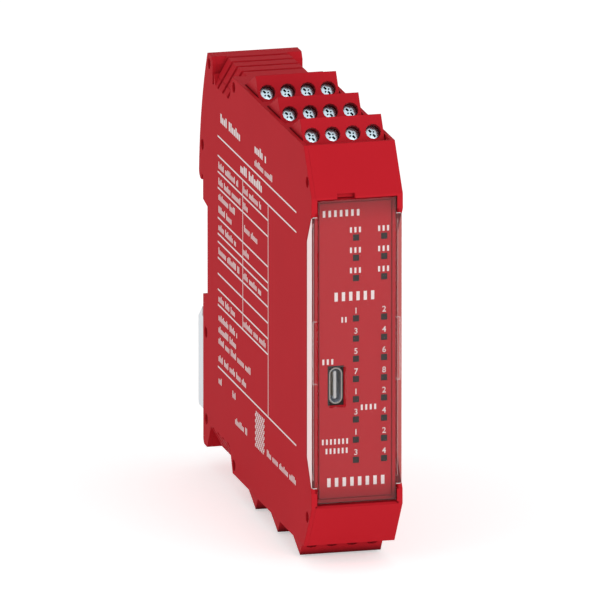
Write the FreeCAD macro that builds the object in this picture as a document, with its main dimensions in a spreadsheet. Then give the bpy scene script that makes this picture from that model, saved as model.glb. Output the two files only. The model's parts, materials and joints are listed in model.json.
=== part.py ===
import FreeCAD, Part
import Sketcher
import math
import os

# A 22.5 mm wide safety controller for a 35 mm rail. Millimetres, X to the right, Y to the back, Z up.
# The origin is the middle of the rail, on the rail's front plane, which is the housing's back face.

doc = FreeCAD.newDocument("safety_controller")
dim = doc.addObject("Spreadsheet::Sheet", "dim")

WAYS = 4
PLUGS_PER_SIDE = 3
VENT_SLOTS = 4
BUS_CONTACTS = 5
UPPER_LIGHT_ROWS = 3
LOWER_LIGHT_ROWS = 8

# Small round features are drawn as prisms with this many sides
ROUND_SIDES = 12
THREAD_SIDES = 8
PEG_SIDES = 6

SIZES = {
    # Housing outline, seen from the side
    "housing_width": 22.5,
    "housing_height": 99.0,
    "housing_depth": 107.0,
    "front_height": 76.6,
    "shoulder_inset": 7.8,
    "side_wall": 1.0,
    "rim_wall": 1.5,
    "heel_depth": 4.5,
    "heel_curve": 75.0,
    "foot_round": 1.5,
    # Rail seat
    "rail_height": 35.0,
    "rail_sheet": 1.0,
    "rail_play": 0.3,
    "hook_reach": 4.05,
    "hook_grip": 1.1,
    "hook_round": 2.0,
    "recess_depth": 4.4,
    "recess_floor": 22.0,
    "recess_mouth": 23.7,
    # Ventilated shoulders
    "shoulder_land": 15.2,
    "shoulder_drop": 6.2,
    "vent_front_top": 29.3,
    "vent_front_low": 26.5,
    "upper_vent_back_top": 8.6,
    "upper_vent_back_low": 12.6,
    "lower_vent_back_top": 3.9,
    "lower_vent_back_low": 7.9,
    "slot_width": 1.3,
    "slot_pitch": 4.85,
    "slot_first": 10.3,
    "slot_sink": 0.3,
    # Pegs that hold the side cover
    "peg_diameter": 2.4,
    "peg_height": 0.4,
    "peg_root": 0.5,
    "peg_play": 0.2,
    "peg_from_edge": 2.3,
    "peg_from_heel": 1.7,
    "peg_from_vents": 1.4,
    "hook_peg_reach": 0.6,
    "hook_peg_rise": 7.9,
    "latch_peg_depth": 2.8,
    "latch_peg_drop": 3.4,
    "foot_peg_depth": 3.1,
    "foot_peg_rise": 6.9,
    "front_peg_inset": 3.5,
    "front_peg_rise": 3.1,
    # Terminal plugs
    "overall_height": 108.0,
    "plug_inset": 1.25,
    "plug_front_room": 16.25,
    "plug_back_room": 20.0,
    "plug_base": 18.0,
    "plug_back": 9.5,
    "wire_face_drop": 4.4,
    "screw_face_tilt": 33.1,
    "screw_face_length": 13.73,
    "bay_gap": 0.25,
    # Terminal screws and wire clamps
    "screw_from_tip": 4.3,
    "screw_hole": 3.8,
    "screw_recess": 1.5,
    "screw_head": 3.6,
    "screw_head_height": 1.3,
    "screw_shank": 2.3,
    "screw_shank_length": 3.6,
    "cross_length": 2.4,
    "cross_width": 0.5,
    "cross_depth": 0.6,
    "clamp_depth": 6.2,
    "clamp_width": 3.8,
    "clamp_height": 4.6,
    "clamp_length": 4.5,
    "clamp_sheet": 0.5,
    "clamp_play": 0.1,
    "thread_play": 0.2,
    # Headers and pins
    "header_length": 6.0,
    "header_drop": 7.0,
    "header_play": 0.2,
    "pin_width": 1.0,
    "pin_play": 0.2,
    "pin_seat_play": 0.05,
    "pin_rise": 5.5,
    "pin_behind_tip": 1.0,
    "pin_level": 2.0,
    # Boards
    "board_sheet": 1.6,
    "board_play": 0.2,
    "board_margin": 1.0,
    "display_inset": 8.7,
    # Front cover and panel
    "cover_inset": 1.6,
    "cover_height": 75.2,
    "cover_sheet": 1.6,
    "cover_play": 0.2,
    "wing_inset": 0.1,
    "wing_sheet": 0.7,
    "wing_step": 0.5,
    "wing_reach": 4.9,
    "wing_front_height": 68.6,
    "wing_back_height": 53.2,
    "wing_play": 0.3,
    "wing_corner": 1.1,
    "hinge_pin": 0.8,
    "hinge_reach": 0.9,
    "hinge_play": 0.1,
    "grip_height": 15.4,
    "grip_width": 1.1,
    "grip_depth": 0.6,
    "panel_gap": 0.4,
    "panel_sheet": 1.5,
    "panel_play": 0.25,
    "flange_sheet": 0.8,
    "flange_reach": 3.5,
    "groove_inset": 0.85,
    "groove_width": 0.3,
    "groove_depth": 0.5,
    "pry_slot_width": 4.4,
    "pry_slot_height": 1.2,
    "pry_slot_offset": -2.7,
    "pry_slot_depth": 1.8,
    # Status lights
    "light_size": 1.45,
    "light_play": 0.05,
    "light_pitch": 5.0,
    "light_left": 0.2,
    "light_right": 7.15,
    "light_top_row": 27.6,
    "light_group_gap": 4.95,
    "chip_height": 0.7,
    # USB-C port
    "port_place": -4.8,
    "port_height": -8.65,
    "port_width": 3.26,
    "port_length": 8.94,
    "port_sheet": 0.3,
    "port_window_width": 4.0,
    "port_window_length": 9.8,
    "blade_sheet": 0.7,
    "blade_length": 6.7,
    "blade_base": 1.5,
    "blade_inset": 0.8,
    # Rail bus socket
    "bus_width": 14.0,
    "bus_height": 16.0,
    "bus_depth": 5.5,
    "bus_play": 0.2,
    "bus_sink": 0.6,
    "bus_pitch": 2.5,
    "bus_slot": 1.0,
    "bus_slot_depth": 3.5,
    "bus_blade": 0.4,
    # Rail latch and its spring
    "latch_inset": 0.1,
    "latch_thickness": 5.2,
    "latch_catch": 2.3,
    "latch_bevel": 3.1,
    "latch_end": 40.9,
    "latch_end_bevel": 0.6,
    "latch_gap": 0.25,
    "tongue_width": 9.0,
    "tongue_flange": 2.0,
    "tongue_depth": 2.4,
    "tongue_lip": 1.2,
    "groove_end": 46.9,
    "pry_width": 4.0,
    "pry_height": 2.0,
    "pry_depth": 2.0,
    "spring_sheet": 0.4,
    "spring_span": 12.0,
    "spring_height": 4.2,
    "spring_gap": 0.3,
}
for row, (alias, size) in enumerate(SIZES.items(), start=1):
    dim.set(f"A{row}", alias)
    dim.set(f"B{row}", str(size))
    dim.setAlias(f"B{row}", alias)
doc.recompute()

# Places that several pieces share, as expressions of the sizes above
TOP = "dim.housing_height / 2"
FRONT = "-dim.housing_depth"
SHOULDER = "-(dim.housing_depth - dim.shoulder_inset)"
OUTER = "dim.housing_width / 2"
INNER = "(dim.housing_width / 2 - dim.side_wall)"
TIP = "dim.overall_height / 2"
BAY_FLOOR = f"({TIP} - dim.plug_base - dim.bay_gap)"
CEILING = f"({BAY_FLOOR} - dim.rim_wall)"
VENT_LOW = f"({TOP} - dim.shoulder_drop)"
VENT_CEILING = f"({VENT_LOW} - dim.slot_sink / 2)"
RAIL_EDGE = "dim.rail_height / 2"
CAVITY_BACK = "-(dim.recess_depth + dim.rim_wall)"
SCREW_FACE_REACH = "dim.screw_face_length * sin(dim.screw_face_tilt)"
SCREW_FACE_DROP = "dim.screw_face_length * cos(dim.screw_face_tilt)"
COVER_BACK = f"({FRONT} + dim.cover_sheet)"
PANEL_FRONT = f"({COVER_BACK} + dim.panel_gap)"
PANEL_BACK = f"({PANEL_FRONT} + dim.panel_sheet)"
WINDOW_HALF = "(dim.cover_height / 2 + dim.cover_play)"
HINGE_DEPTH = f"({FRONT} + dim.cover_sheet / 2)"
HINGE_HEIGHT = "-(dim.cover_height / 2 - dim.cover_sheet / 2)"
COVER_HALF = f"({OUTER} - dim.cover_inset)"
CHEEK = f"({COVER_HALF} + dim.cover_play)"
WING_OUTER = f"({OUTER} - dim.wing_inset)"
WING_FRONT = f"({FRONT} + dim.wing_step)"
WING_BACK = f"({FRONT} + dim.wing_reach)"
BOARD_FACE = f"({INNER} - dim.board_play - dim.board_sheet)"
DISPLAY_FRONT = f"({FRONT} + dim.display_inset)"
PLUG_WIDTH = "(dim.housing_width - 2 * dim.plug_inset)"
PLUG_PITCH = f"((dim.housing_depth - dim.plug_back_room) / {PLUGS_PER_SIDE + 1})"
LIGHT_COLUMNS = ("dim.light_left", "dim.light_right")


def plug_tip(order):
    """Y of the tip of a plug, counted from the rail."""
    return f"({FRONT} + dim.plug_front_room + {PLUGS_PER_SIDE - 1 - order} * {PLUG_PITCH})"


def way_place(way):
    """X of one way of a plug."""
    return f"{way - (WAYS - 1) / 2} * {PLUG_WIDTH} / {WAYS}"


# Helpers that tie sketches and primitives to the sizes
def add_sketch(body, name, plane, offset="0"):
    sketch = body.newObject("Sketcher::SketchObject", name)
    support = [feature for feature in body.Origin.OriginFeatures if feature.Role == plane][0]
    sketch.AttachmentSupport = [(support, "")]
    sketch.MapMode = "FlatFace"
    sketch.setExpression("AttachmentOffset.Base.z", offset)
    return sketch


def tie(sketch, constraint, size):
    index = sketch.addConstraint(constraint)
    sketch.setExpression(f"Constraints[{index}]", size)


def hold(sketch, edge, point, x, y):
    """Hold one point at two sizes from the sketch's own origin."""
    for kind, size in (("DistanceX", x), ("DistanceY", y)):
        distance = float(sketch.evalExpression(size))
        tie(sketch, Sketcher.Constraint(kind, -1, 1, edge, point, distance), size)


def draw_outline(sketch, corners):
    """Close a loop through corners (x, y). A third item is the radius of an arc to the next corner.

    The arc runs clockwise, or the other way where a fourth item says so.
    """
    points = [FreeCAD.Vector(*(float(sketch.evalExpression(size)) for size in corner[:2]), 0)
              for corner in corners]
    ends = []
    for start, corner in enumerate(corners):
        here = points[start]
        there = points[(start + 1) % len(points)]
        if len(corner) == 2:
            edge = sketch.addGeometry(Part.LineSegment(here, there))
            ends.append((edge, 1, 2))
            continue
        radius = float(sketch.evalExpression(corner[2]))
        chord = there - here
        clockwise = len(corner) == 3
        rise = math.sqrt(radius ** 2 - (chord.Length / 2) ** 2)
        right = FreeCAD.Vector(chord.y, -chord.x, 0).normalize()
        center = here + chord * 0.5 + right * (rise if clockwise else -rise)
        tips = (there, here) if clockwise else (here, there)
        angles = [math.atan2((tip - center).y, (tip - center).x) for tip in tips]
        circle = Part.Circle(center, FreeCAD.Vector(0, 0, 1), radius)
        edge = sketch.addGeometry(Part.ArcOfCircle(circle, *angles))
        ends.append((edge, 2, 1) if clockwise else (edge, 1, 2))
        tie(sketch, Sketcher.Constraint("Radius", edge, radius), corner[2])
    for order, (edge, first, last) in enumerate(ends):
        following, start, _ = ends[(order + 1) % len(ends)]
        sketch.addConstraint(Sketcher.Constraint("Coincident", edge, last, following, start))
        hold(sketch, edge, first, *corners[order][:2])


def draw_rectangle(sketch, left, bottom, right, top):
    draw_outline(sketch, [(left, bottom), (right, bottom), (right, top), (left, top)])


def draw_circle(sketch, x, y, diameter):
    center = FreeCAD.Vector(float(sketch.evalExpression(x)), float(sketch.evalExpression(y)), 0)
    size = float(sketch.evalExpression(diameter))
    edge = sketch.addGeometry(Part.Circle(center, FreeCAD.Vector(0, 0, 1), size / 2))
    tie(sketch, Sketcher.Constraint("Diameter", edge, size), diameter)
    hold(sketch, edge, 3, x, y)


def add_body(name):
    return doc.addObject("PartDesign::Body", name)


def add_feature(kind, sketch, length, reverse=False, midplane=False):
    """Pad or Pocket a sketch of the body that holds it."""
    body = sketch.getParentGeoFeatureGroup()
    feature = body.newObject(f"PartDesign::{kind}", f"{sketch.Name}_{kind.lower()}")
    feature.Profile = sketch
    feature.setExpression("Length", length)
    feature.Reversed = reverse
    if midplane:
        feature.SideType = "Symmetric"
    return feature


def add_solid(kind, name, place=None, turn=None, axis=(1, 0, 0), **sizes):
    """A primitive with its sizes, its place (x, y, z) and a turn about an axis, all as expressions."""
    solid = doc.addObject(f"Part::{kind}", name)
    for size, expression in sizes.items():
        solid.setExpression(size, expression)
    put(solid, place or ("0", "0", "0"), turn, axis)
    return solid


def add_prism(name, sides, diameter, length, place, turn, axis=(1, 0, 0)):
    """A round feature with flat sides, whose corners lie on the diameter."""
    prism = add_solid("Prism", name, place, turn, axis, Circumradius=f"({diameter}) / 2", Height=length)
    prism.Polygon = sides
    return prism


def put(solid, place, turn=None, axis=(1, 0, 0)):
    if turn is not None:
        quarter = FreeCAD.Rotation(FreeCAD.Vector(*axis), 90)
        solid.Placement = FreeCAD.Placement(FreeCAD.Vector(), quarter)
        solid.setExpression("Placement.Rotation.Angle", turn)
    for letter, expression in zip("xyz", place):
        solid.setExpression(f"Placement.Base.{letter}", expression)


def add_box(name, center_x, width, low_y, length, low_z, height):
    """A box centred on X, from its lowest Y and Z."""
    place = (f"({center_x}) - ({width}) / 2", low_y, low_z)
    return add_solid("Box", name, place, Length=width, Width=length, Height=height)


def combine(kind, name, pieces):
    joined = doc.addObject(f"Part::{kind}", name)
    if kind == "Compound":
        joined.Links = pieces
    else:
        joined.Shapes = pieces
    return joined


def cut(name, base, tool):
    result = doc.addObject("Part::Cut", name)
    result.Base = base
    result.Tool = tool
    return result


nodes = []


def finish(solid, label):
    """Give a finished sub-part the name of its file."""
    solid.Label = label
    nodes.append(solid)


# Housing: one moulding with the right wall, the rim, the terminal bays, the rail hook and the front frame
PEG_PLACES = [
    ("-(dim.heel_depth + dim.peg_from_heel)", f"{TOP} - dim.peg_from_edge"),
    ("-(dim.vent_front_top + dim.peg_from_vents)", f"{TOP} - dim.peg_from_edge"),
    ("-(dim.vent_front_top + dim.peg_from_vents)", f"-({TOP} - dim.peg_from_edge)"),
    ("dim.hook_peg_reach", f"{RAIL_EDGE} + dim.hook_peg_rise"),
    ("-dim.latch_peg_depth", f"-({RAIL_EDGE} + dim.latch_peg_drop)"),
    ("-dim.foot_peg_depth", f"-({TOP} - dim.foot_peg_rise)"),
    (f"{SHOULDER} - dim.front_peg_inset", "dim.front_height / 2 + dim.front_peg_rise"),
    (f"{SHOULDER} - dim.front_peg_inset", "-(dim.front_height / 2 + dim.front_peg_rise)"),
]


def draw_side_outline(sketch):
    """The housing seen from the side, from the heel over the rail hook and round the front."""
    hook_low = f"({RAIL_EDGE} - dim.hook_grip)"
    draw_outline(sketch, [
        ("-dim.heel_depth", TOP, "dim.heel_curve"),
        ("dim.hook_reach", f"{hook_low} + dim.hook_round", "dim.hook_round"),
        ("dim.hook_reach - dim.hook_round", hook_low),
        ("dim.rail_sheet + dim.rail_play", hook_low),
        ("dim.rail_sheet + dim.rail_play", f"{RAIL_EDGE} + dim.rail_play"),
        ("0", f"{RAIL_EDGE} + dim.rail_play"),
        ("0", "dim.recess_mouth / 2"),
        ("-dim.recess_depth", "dim.recess_floor / 2"),
        ("-dim.recess_depth", "-dim.recess_floor / 2"),
        ("0", "-dim.recess_mouth / 2"),
        ("0", f"-({TOP} - dim.foot_round)", "dim.foot_round"),
        ("-dim.foot_round", f"-{TOP}"),
        (SHOULDER, f"-{TOP}"),
        (FRONT, "-dim.front_height / 2"),
        (FRONT, "dim.front_height / 2"),
        (SHOULDER, TOP),
    ])


def draw_wing_notch(sketch):
    """The notch in a side wall that takes a wing of the front cover."""
    back = f"{WING_BACK} + dim.wing_play"
    half_back = "dim.wing_back_height / 2 + dim.wing_play"
    half_front = "dim.wing_front_height / 2 + dim.wing_play"
    ahead = f"{FRONT} - dim.wing_play"
    draw_outline(sketch, [
        (back, f"-({half_back})"), (back, half_back), (FRONT, half_front),
        (ahead, half_front), (ahead, f"-({half_front})"), (FRONT, f"-({half_front})"),
    ])


def add_cheeks(body, prefix, offset, reverse):
    """Corner blocks beside the cover's ends, with the blind holes of its hinge pins."""
    cheeks = add_sketch(body, f"{prefix}_cheeks", "YZ_Plane", offset)
    low = "dim.wing_front_height / 2 + dim.wing_play"
    for sign in ("", "-"):
        draw_rectangle(cheeks, FRONT, f"{sign}({low})", COVER_BACK, f"{sign}({WINDOW_HALF})")
    add_feature("Pad", cheeks, f"{INNER} - {CHEEK}", reverse)
    inner_face = f"-{CHEEK}" if reverse is False else CHEEK
    holes = add_sketch(body, f"{prefix}_hinge_hole", "YZ_Plane", inner_face)
    draw_circle(holes, HINGE_DEPTH, HINGE_HEIGHT, "dim.hinge_pin + 2 * dim.hinge_play")
    add_feature("Pocket", holes, "dim.hinge_reach + dim.hinge_play", reverse)


def add_shoulder_cutters():
    """The chamfered vent recesses at the back corners and the slots across them."""
    cutters = []
    beyond = f"({OUTER} + dim.side_wall)"
    lands = (("left", (f"-{beyond}", f"-{OUTER}", f"-{beyond}", "-dim.shoulder_land / 2")),
             ("right", (OUTER, beyond, "dim.shoulder_land / 2", beyond)))
    ends = (("upper", "90", f"{VENT_LOW} - dim.slot_sink",
             ("dim.upper_vent_back_low", "dim.vent_front_low",
              "dim.upper_vent_back_top", "dim.vent_front_top")),
            ("lower", "-90", f"-{TOP} - dim.slot_sink",
             ("-dim.vent_front_low", "-dim.lower_vent_back_low",
              "-dim.vent_front_top", "-dim.lower_vent_back_top")))
    for end, turn, slot_low, depths in ends:
        for hand, widths in lands:
            cutters.append(add_solid(
                "Wedge", f"{end}_{hand}_shoulder", turn=turn, Ymin=VENT_LOW, Ymax=TOP,
                Xmin=widths[0], Xmax=widths[1], X2min=widths[2], X2max=widths[3],
                Zmin=depths[0], Zmax=depths[1], Z2min=depths[2], Z2max=depths[3]))
        for slot in range(VENT_SLOTS):
            cutters.append(add_box(
                f"{end}_vent_{slot + 1}", "0", f"2 * {beyond}",
                f"-(dim.slot_first + {slot} * dim.slot_pitch + dim.slot_width / 2)", "dim.slot_width",
                slot_low, "dim.shoulder_drop + 2 * dim.slot_sink"))
    return combine("MultiFuse", "shoulder_cutters", cutters)


def add_housing(cutters):
    moulding = add_body("housing_moulding")
    block = add_sketch(moulding, "housing_outline", "YZ_Plane", f"-{INNER}")
    draw_side_outline(block)
    add_feature("Pad", block, "dim.housing_width - dim.side_wall")

    cavity = add_sketch(moulding, "cavity", "YZ_Plane", INNER)
    bay_wall = f"({plug_tip(0)} + dim.plug_back + dim.bay_gap + dim.rim_wall)"
    ahead = f"{FRONT} - dim.cover_play"
    lip_chamfer = "(dim.front_height / 2)"
    draw_outline(cavity, [
        (CAVITY_BACK, VENT_CEILING), (CAVITY_BACK, f"-{VENT_CEILING}"),
        (bay_wall, f"-{VENT_CEILING}"), (bay_wall, f"-{CEILING}"),
        (PANEL_BACK, f"-{CEILING}"), (PANEL_BACK, f"-{WINDOW_HALF}"),
        (f"{HINGE_DEPTH}", f"-{WINDOW_HALF}"), (FRONT, f"-{lip_chamfer}"), (ahead, f"-{lip_chamfer}"),
        (ahead, WINDOW_HALF), (PANEL_BACK, WINDOW_HALF), (PANEL_BACK, CEILING),
        (bay_wall, CEILING), (bay_wall, VENT_CEILING),
    ])
    add_feature("Pocket", cavity, f"2 * {INNER}")

    bays = add_sketch(moulding, "bays", "YZ_Plane", INNER)
    for order in range(PLUGS_PER_SIDE):
        tip = plug_tip(order)
        front = f"{tip} - {SCREW_FACE_REACH} - dim.bay_gap"
        back = f"{tip} + dim.plug_back + dim.bay_gap"
        pins = f"{tip} + dim.pin_behind_tip"
        slot = "(dim.header_length / 2 + dim.header_play)"
        for sign in ("", "-"):
            draw_outline(bays, [
                (front, f"{sign}({TIP})"), (front, f"{sign}{BAY_FLOOR}"),
                (f"{pins} - {slot}", f"{sign}{BAY_FLOOR}"), (f"{pins} - {slot}", f"{sign}{CEILING}"),
                (f"{pins} + {slot}", f"{sign}{CEILING}"), (f"{pins} + {slot}", f"{sign}{BAY_FLOOR}"),
                (back, f"{sign}{BAY_FLOOR}"), (back, f"{sign}({TIP})"),
            ])
    add_feature("Pocket", bays, f"2 * {INNER}")

    notch = add_sketch(moulding, "right_wing_notch", "YZ_Plane", OUTER)
    draw_wing_notch(notch)
    add_feature("Pocket", notch, "dim.side_wall")
    add_cheeks(moulding, "right", INNER, True)

    pry = add_sketch(moulding, "pry_slot", "XZ_Plane", "dim.housing_depth")
    draw_rectangle(pry, "dim.pry_slot_offset - dim.pry_slot_width / 2", WINDOW_HALF,
                   "dim.pry_slot_offset + dim.pry_slot_width / 2", f"{WINDOW_HALF} + dim.pry_slot_height")
    add_feature("Pocket", pry, "dim.pry_slot_depth")

    bus = add_sketch(moulding, "bus_window", "XZ_Plane", "dim.recess_depth")
    half = "dim.bus_height / 2 + dim.bus_play"
    draw_rectangle(bus, "-(dim.bus_width / 2 + dim.bus_play)", f"-({half})",
                   "dim.bus_width / 2 + dim.bus_play", half)
    add_feature("Pocket", bus, "dim.rim_wall", True)

    for part, half, near, length in (
            ("stem", "dim.tongue_width / 2", "0", "dim.tongue_depth + dim.latch_gap"),
            ("flange", "dim.tongue_width / 2 + dim.tongue_flange",
             "dim.tongue_depth - dim.tongue_lip - dim.latch_gap", "dim.tongue_lip + 2 * dim.latch_gap")):
        groove = add_sketch(moulding, f"latch_groove_{part}", "XZ_Plane", near)
        side = f"({half} + dim.latch_gap)"
        draw_rectangle(groove, f"-{side}", "-dim.groove_end", side, "-(dim.recess_mouth / 2 - dim.rim_wall)")
        add_feature("Pocket", groove, length, True)

    vented = cut("vented_moulding", moulding, cutters)
    start = f"-({INNER} + dim.peg_height)"
    pegs = add_pegs("peg", PEG_SIDES, "dim.peg_diameter", start, "dim.peg_height + dim.peg_root")
    finish(combine("MultiFuse", "housing_body", [vented, *pegs]), "housing_body")


def add_pegs(name, sides, diameter, start, length):
    """A prism along X at each place where the side cover is held."""
    return [add_prism(f"{name}_{order}", sides, diameter, length, (start, y, z), "90", (0, 1, 0))
            for order, (y, z) in enumerate(PEG_PLACES, start=1)]


def add_side_cover(cutters):
    plate = add_body("side_plate")
    wall = add_sketch(plate, "side_outline", "YZ_Plane", f"-{OUTER}")
    draw_side_outline(wall)
    add_feature("Pad", wall, "dim.side_wall")
    notch = add_sketch(plate, "left_wing_notch", "YZ_Plane", f"-{INNER}")
    draw_wing_notch(notch)
    add_feature("Pocket", notch, "dim.side_wall")
    add_cheeks(plate, "left", f"-{INNER}", False)
    sockets = add_pegs("peg_socket", ROUND_SIDES, "dim.peg_diameter + 2 * dim.peg_play",
                       f"-({OUTER} + dim.peg_play)", "dim.side_wall + dim.peg_play")
    finish(cut("side_cover", plate, combine("MultiFuse", "side_cuts", [cutters, *sockets])), "side_cover")


def add_front_cover():
    cover = add_body("front_cover")
    front = add_sketch(cover, "cover_outline", "XZ_Plane", "dim.housing_depth - dim.cover_sheet")
    draw_rectangle(front, f"-{COVER_HALF}", HINGE_HEIGHT, COVER_HALF, "dim.cover_height / 2")
    add_feature("Pad", front, "dim.cover_sheet")
    wing = "dim.wing_front_height / 2"
    taper = "(dim.wing_front_height - dim.wing_back_height) / 2 / dim.wing_reach"
    front_wing = f"({wing} - dim.wing_step * {taper})"
    inner_wing = f"({wing} - dim.cover_sheet * {taper})"
    shoulder = add_sketch(cover, "wing_shoulder", "YZ_Plane")
    draw_outline(shoulder, [
        (WING_FRONT, f"-{front_wing}"), (COVER_BACK, f"-{inner_wing}"),
        (COVER_BACK, inner_wing), (WING_FRONT, front_wing),
    ])
    add_feature("Pad", shoulder, f"2 * {WING_OUTER}", midplane=True)
    bead = add_sketch(cover, "hinge_bead", "YZ_Plane")
    draw_circle(bead, HINGE_DEPTH, HINGE_HEIGHT, "dim.cover_sheet")
    add_feature("Pad", bead, f"2 * {COVER_HALF}", midplane=True)
    pins = add_sketch(cover, "hinge_pins", "YZ_Plane")
    draw_circle(pins, HINGE_DEPTH, HINGE_HEIGHT, "dim.hinge_pin")
    add_feature("Pad", pins, f"2 * ({CHEEK} + dim.hinge_reach)", midplane=True)
    for hand, offset, reverse in (("left", f"-{WING_OUTER}", False), ("right", WING_OUTER, True)):
        flange = add_sketch(cover, f"{hand}_wing", "YZ_Plane", offset)
        draw_outline(flange, [
            (WING_FRONT, f"-{front_wing}"), (WING_BACK, "-dim.wing_back_height / 2"),
            (WING_BACK, "dim.wing_back_height / 2"), (WING_FRONT, front_wing),
        ])
        add_feature("Pad", flange, "dim.wing_sheet", reverse)
    corners = add_sketch(cover, "wing_corners", "XZ_Plane", "dim.housing_depth")
    for side in ("", "-"):
        for end in ("", "-"):
            draw_outline(corners, [
                (f"{side}{COVER_HALF}", f"{end}{wing}"), (f"{side}{WING_OUTER}", f"{end}{wing}"),
                (f"{side}{WING_OUTER}", f"{end}({wing} - dim.wing_corner)"),
            ])
    add_feature("Pocket", corners, "dim.wing_reach")
    window = add_sketch(cover, "port_window", "XZ_Plane", "dim.housing_depth")
    draw_port_window(window)
    add_feature("Pocket", window, "dim.cover_sheet")
    grips = add_sketch(cover, "grips", "XZ_Plane", "dim.housing_depth")
    for sign in ("", "-"):
        draw_rectangle(grips, f"{sign}{COVER_HALF}", "-dim.grip_height / 2",
                       f"{sign}({COVER_HALF} + dim.grip_width)", "dim.grip_height / 2")
    add_feature("Pocket", grips, "dim.wing_step + dim.grip_depth")
    finish(cover, "front_cover")


def draw_port_window(sketch):
    half_width = "dim.port_window_width / 2"
    half_length = "dim.port_window_length / 2"
    draw_rectangle(sketch, f"dim.port_place - {half_width}", f"dim.port_height - {half_length}",
                   f"dim.port_place + {half_width}", f"dim.port_height + {half_length}")


# Front panel with its light windows and the port behind it
def light_places():
    """X and Z of each status light, in rows above and below a gap."""
    for row in range(UPPER_LIGHT_ROWS + LOWER_LIGHT_ROWS):
        gap = " - dim.light_group_gap" if row >= UPPER_LIGHT_ROWS else ""
        for column in LIGHT_COLUMNS:
            yield column, f"(dim.light_top_row - {row} * dim.light_pitch{gap})"


def add_front_panel():
    panel = add_body("front_panel")
    plate = add_sketch(panel, "panel_outline", "XZ_Plane", f"-{PANEL_BACK}")
    half_width = f"({INNER} - dim.panel_play)"
    half_height = f"({WINDOW_HALF} - dim.panel_play)"
    draw_rectangle(plate, f"-{half_width}", f"-{half_height}", half_width, half_height)
    add_feature("Pad", plate, "dim.panel_sheet")
    flanges = add_sketch(panel, "wing_flanges", "XZ_Plane", f"-{PANEL_BACK}")
    flange_half = "(dim.wing_front_height + dim.wing_back_height) / 4"
    for sign in ("", "-"):
        draw_rectangle(flanges, f"{sign}({half_width} - dim.flange_sheet)", f"-{flange_half}",
                       f"{sign}{half_width}", flange_half)
    add_feature("Pad", flanges, "dim.flange_reach", True)
    windows = add_sketch(panel, "panel_windows", "XZ_Plane", f"-{PANEL_FRONT}")
    half = "(dim.light_size / 2 + dim.light_play)"
    for x, z in light_places():
        draw_rectangle(windows, f"{x} - {half}", f"{z} - {half}", f"{x} + {half}", f"{z} + {half}")
    draw_port_window(windows)
    add_feature("Pocket", windows, "dim.panel_sheet")
    groove = add_sketch(panel, "border_groove", "XZ_Plane", f"-{PANEL_FRONT}")
    for inset in ("dim.groove_inset", "(dim.groove_inset + dim.groove_width)"):
        draw_rectangle(groove, f"-({half_width} - {inset})", f"-({half_height} - {inset})",
                       f"{half_width} - {inset}", f"{half_height} - {inset}")
    add_feature("Pocket", groove, "dim.groove_depth")
    finish(panel, "front_panel")


def add_lights():
    guides = []
    chips = []
    chip_front = f"({DISPLAY_FRONT} - dim.chip_height)"
    for order, (x, z) in enumerate(light_places(), start=1):
        low = f"{z} - dim.light_size / 2"
        guides.append(add_box(f"light_guide_{order}", x, "dim.light_size", PANEL_FRONT,
                              f"{chip_front} - {PANEL_FRONT}", low, "dim.light_size"))
        chips.append(add_box(f"light_chip_{order}", x, "dim.light_size", chip_front,
                             "dim.chip_height", low, "dim.light_size"))
    finish(combine("Compound", "light_guides", guides), "light_guides")
    finish(combine("Compound", "light_chips", chips), "light_chips")


def add_boards():
    margin = "dim.board_margin"
    width = f"2 * ({INNER} - dim.board_play)"
    display = add_box("display_board", "0", width, DISPLAY_FRONT, "dim.board_sheet",
                      f"-({CEILING} - {margin})", f"2 * ({CEILING} - {margin})")
    finish(display, "display_board")
    board = add_body("main_board")
    outline = add_sketch(board, "board_outline", "YZ_Plane", BOARD_FACE)
    back = f"{CAVITY_BACK} - {margin}"
    step = f"{plug_tip(0)} + dim.plug_back + dim.bay_gap + dim.rim_wall + {margin}"
    front = f"{DISPLAY_FRONT} + dim.board_sheet + dim.board_play"
    draw_outline(outline, [
        (back, f"{VENT_CEILING} - {margin}"), (step, f"{VENT_CEILING} - {margin}"),
        (step, f"{CEILING} - {margin}"), (front, f"{CEILING} - {margin}"),
        (front, f"-({CEILING} - {margin})"), (step, f"-({CEILING} - {margin})"),
        (step, f"-({VENT_CEILING} - {margin})"), (back, f"-({VENT_CEILING} - {margin})"),
    ])
    add_feature("Pad", outline, "dim.board_sheet")
    finish(board, "main_board")


def draw_port(sketch, inset):
    """The rounded slot of the port's shell, set in from its outside by the inset."""
    half = f"(dim.port_width / 2 - {inset})"
    straight = "(dim.port_length - dim.port_width) / 2"
    left = f"dim.port_place - {half}"
    right = f"dim.port_place + {half}"
    low = f"dim.port_height - {straight}"
    high = f"dim.port_height + {straight}"
    middle = "dim.port_place"
    draw_outline(sketch, [
        (left, low), (left, high, half), (middle, f"{high} + {half}", half),
        (right, high), (right, low, half), (middle, f"{low} - {half}", half),
    ])


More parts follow.
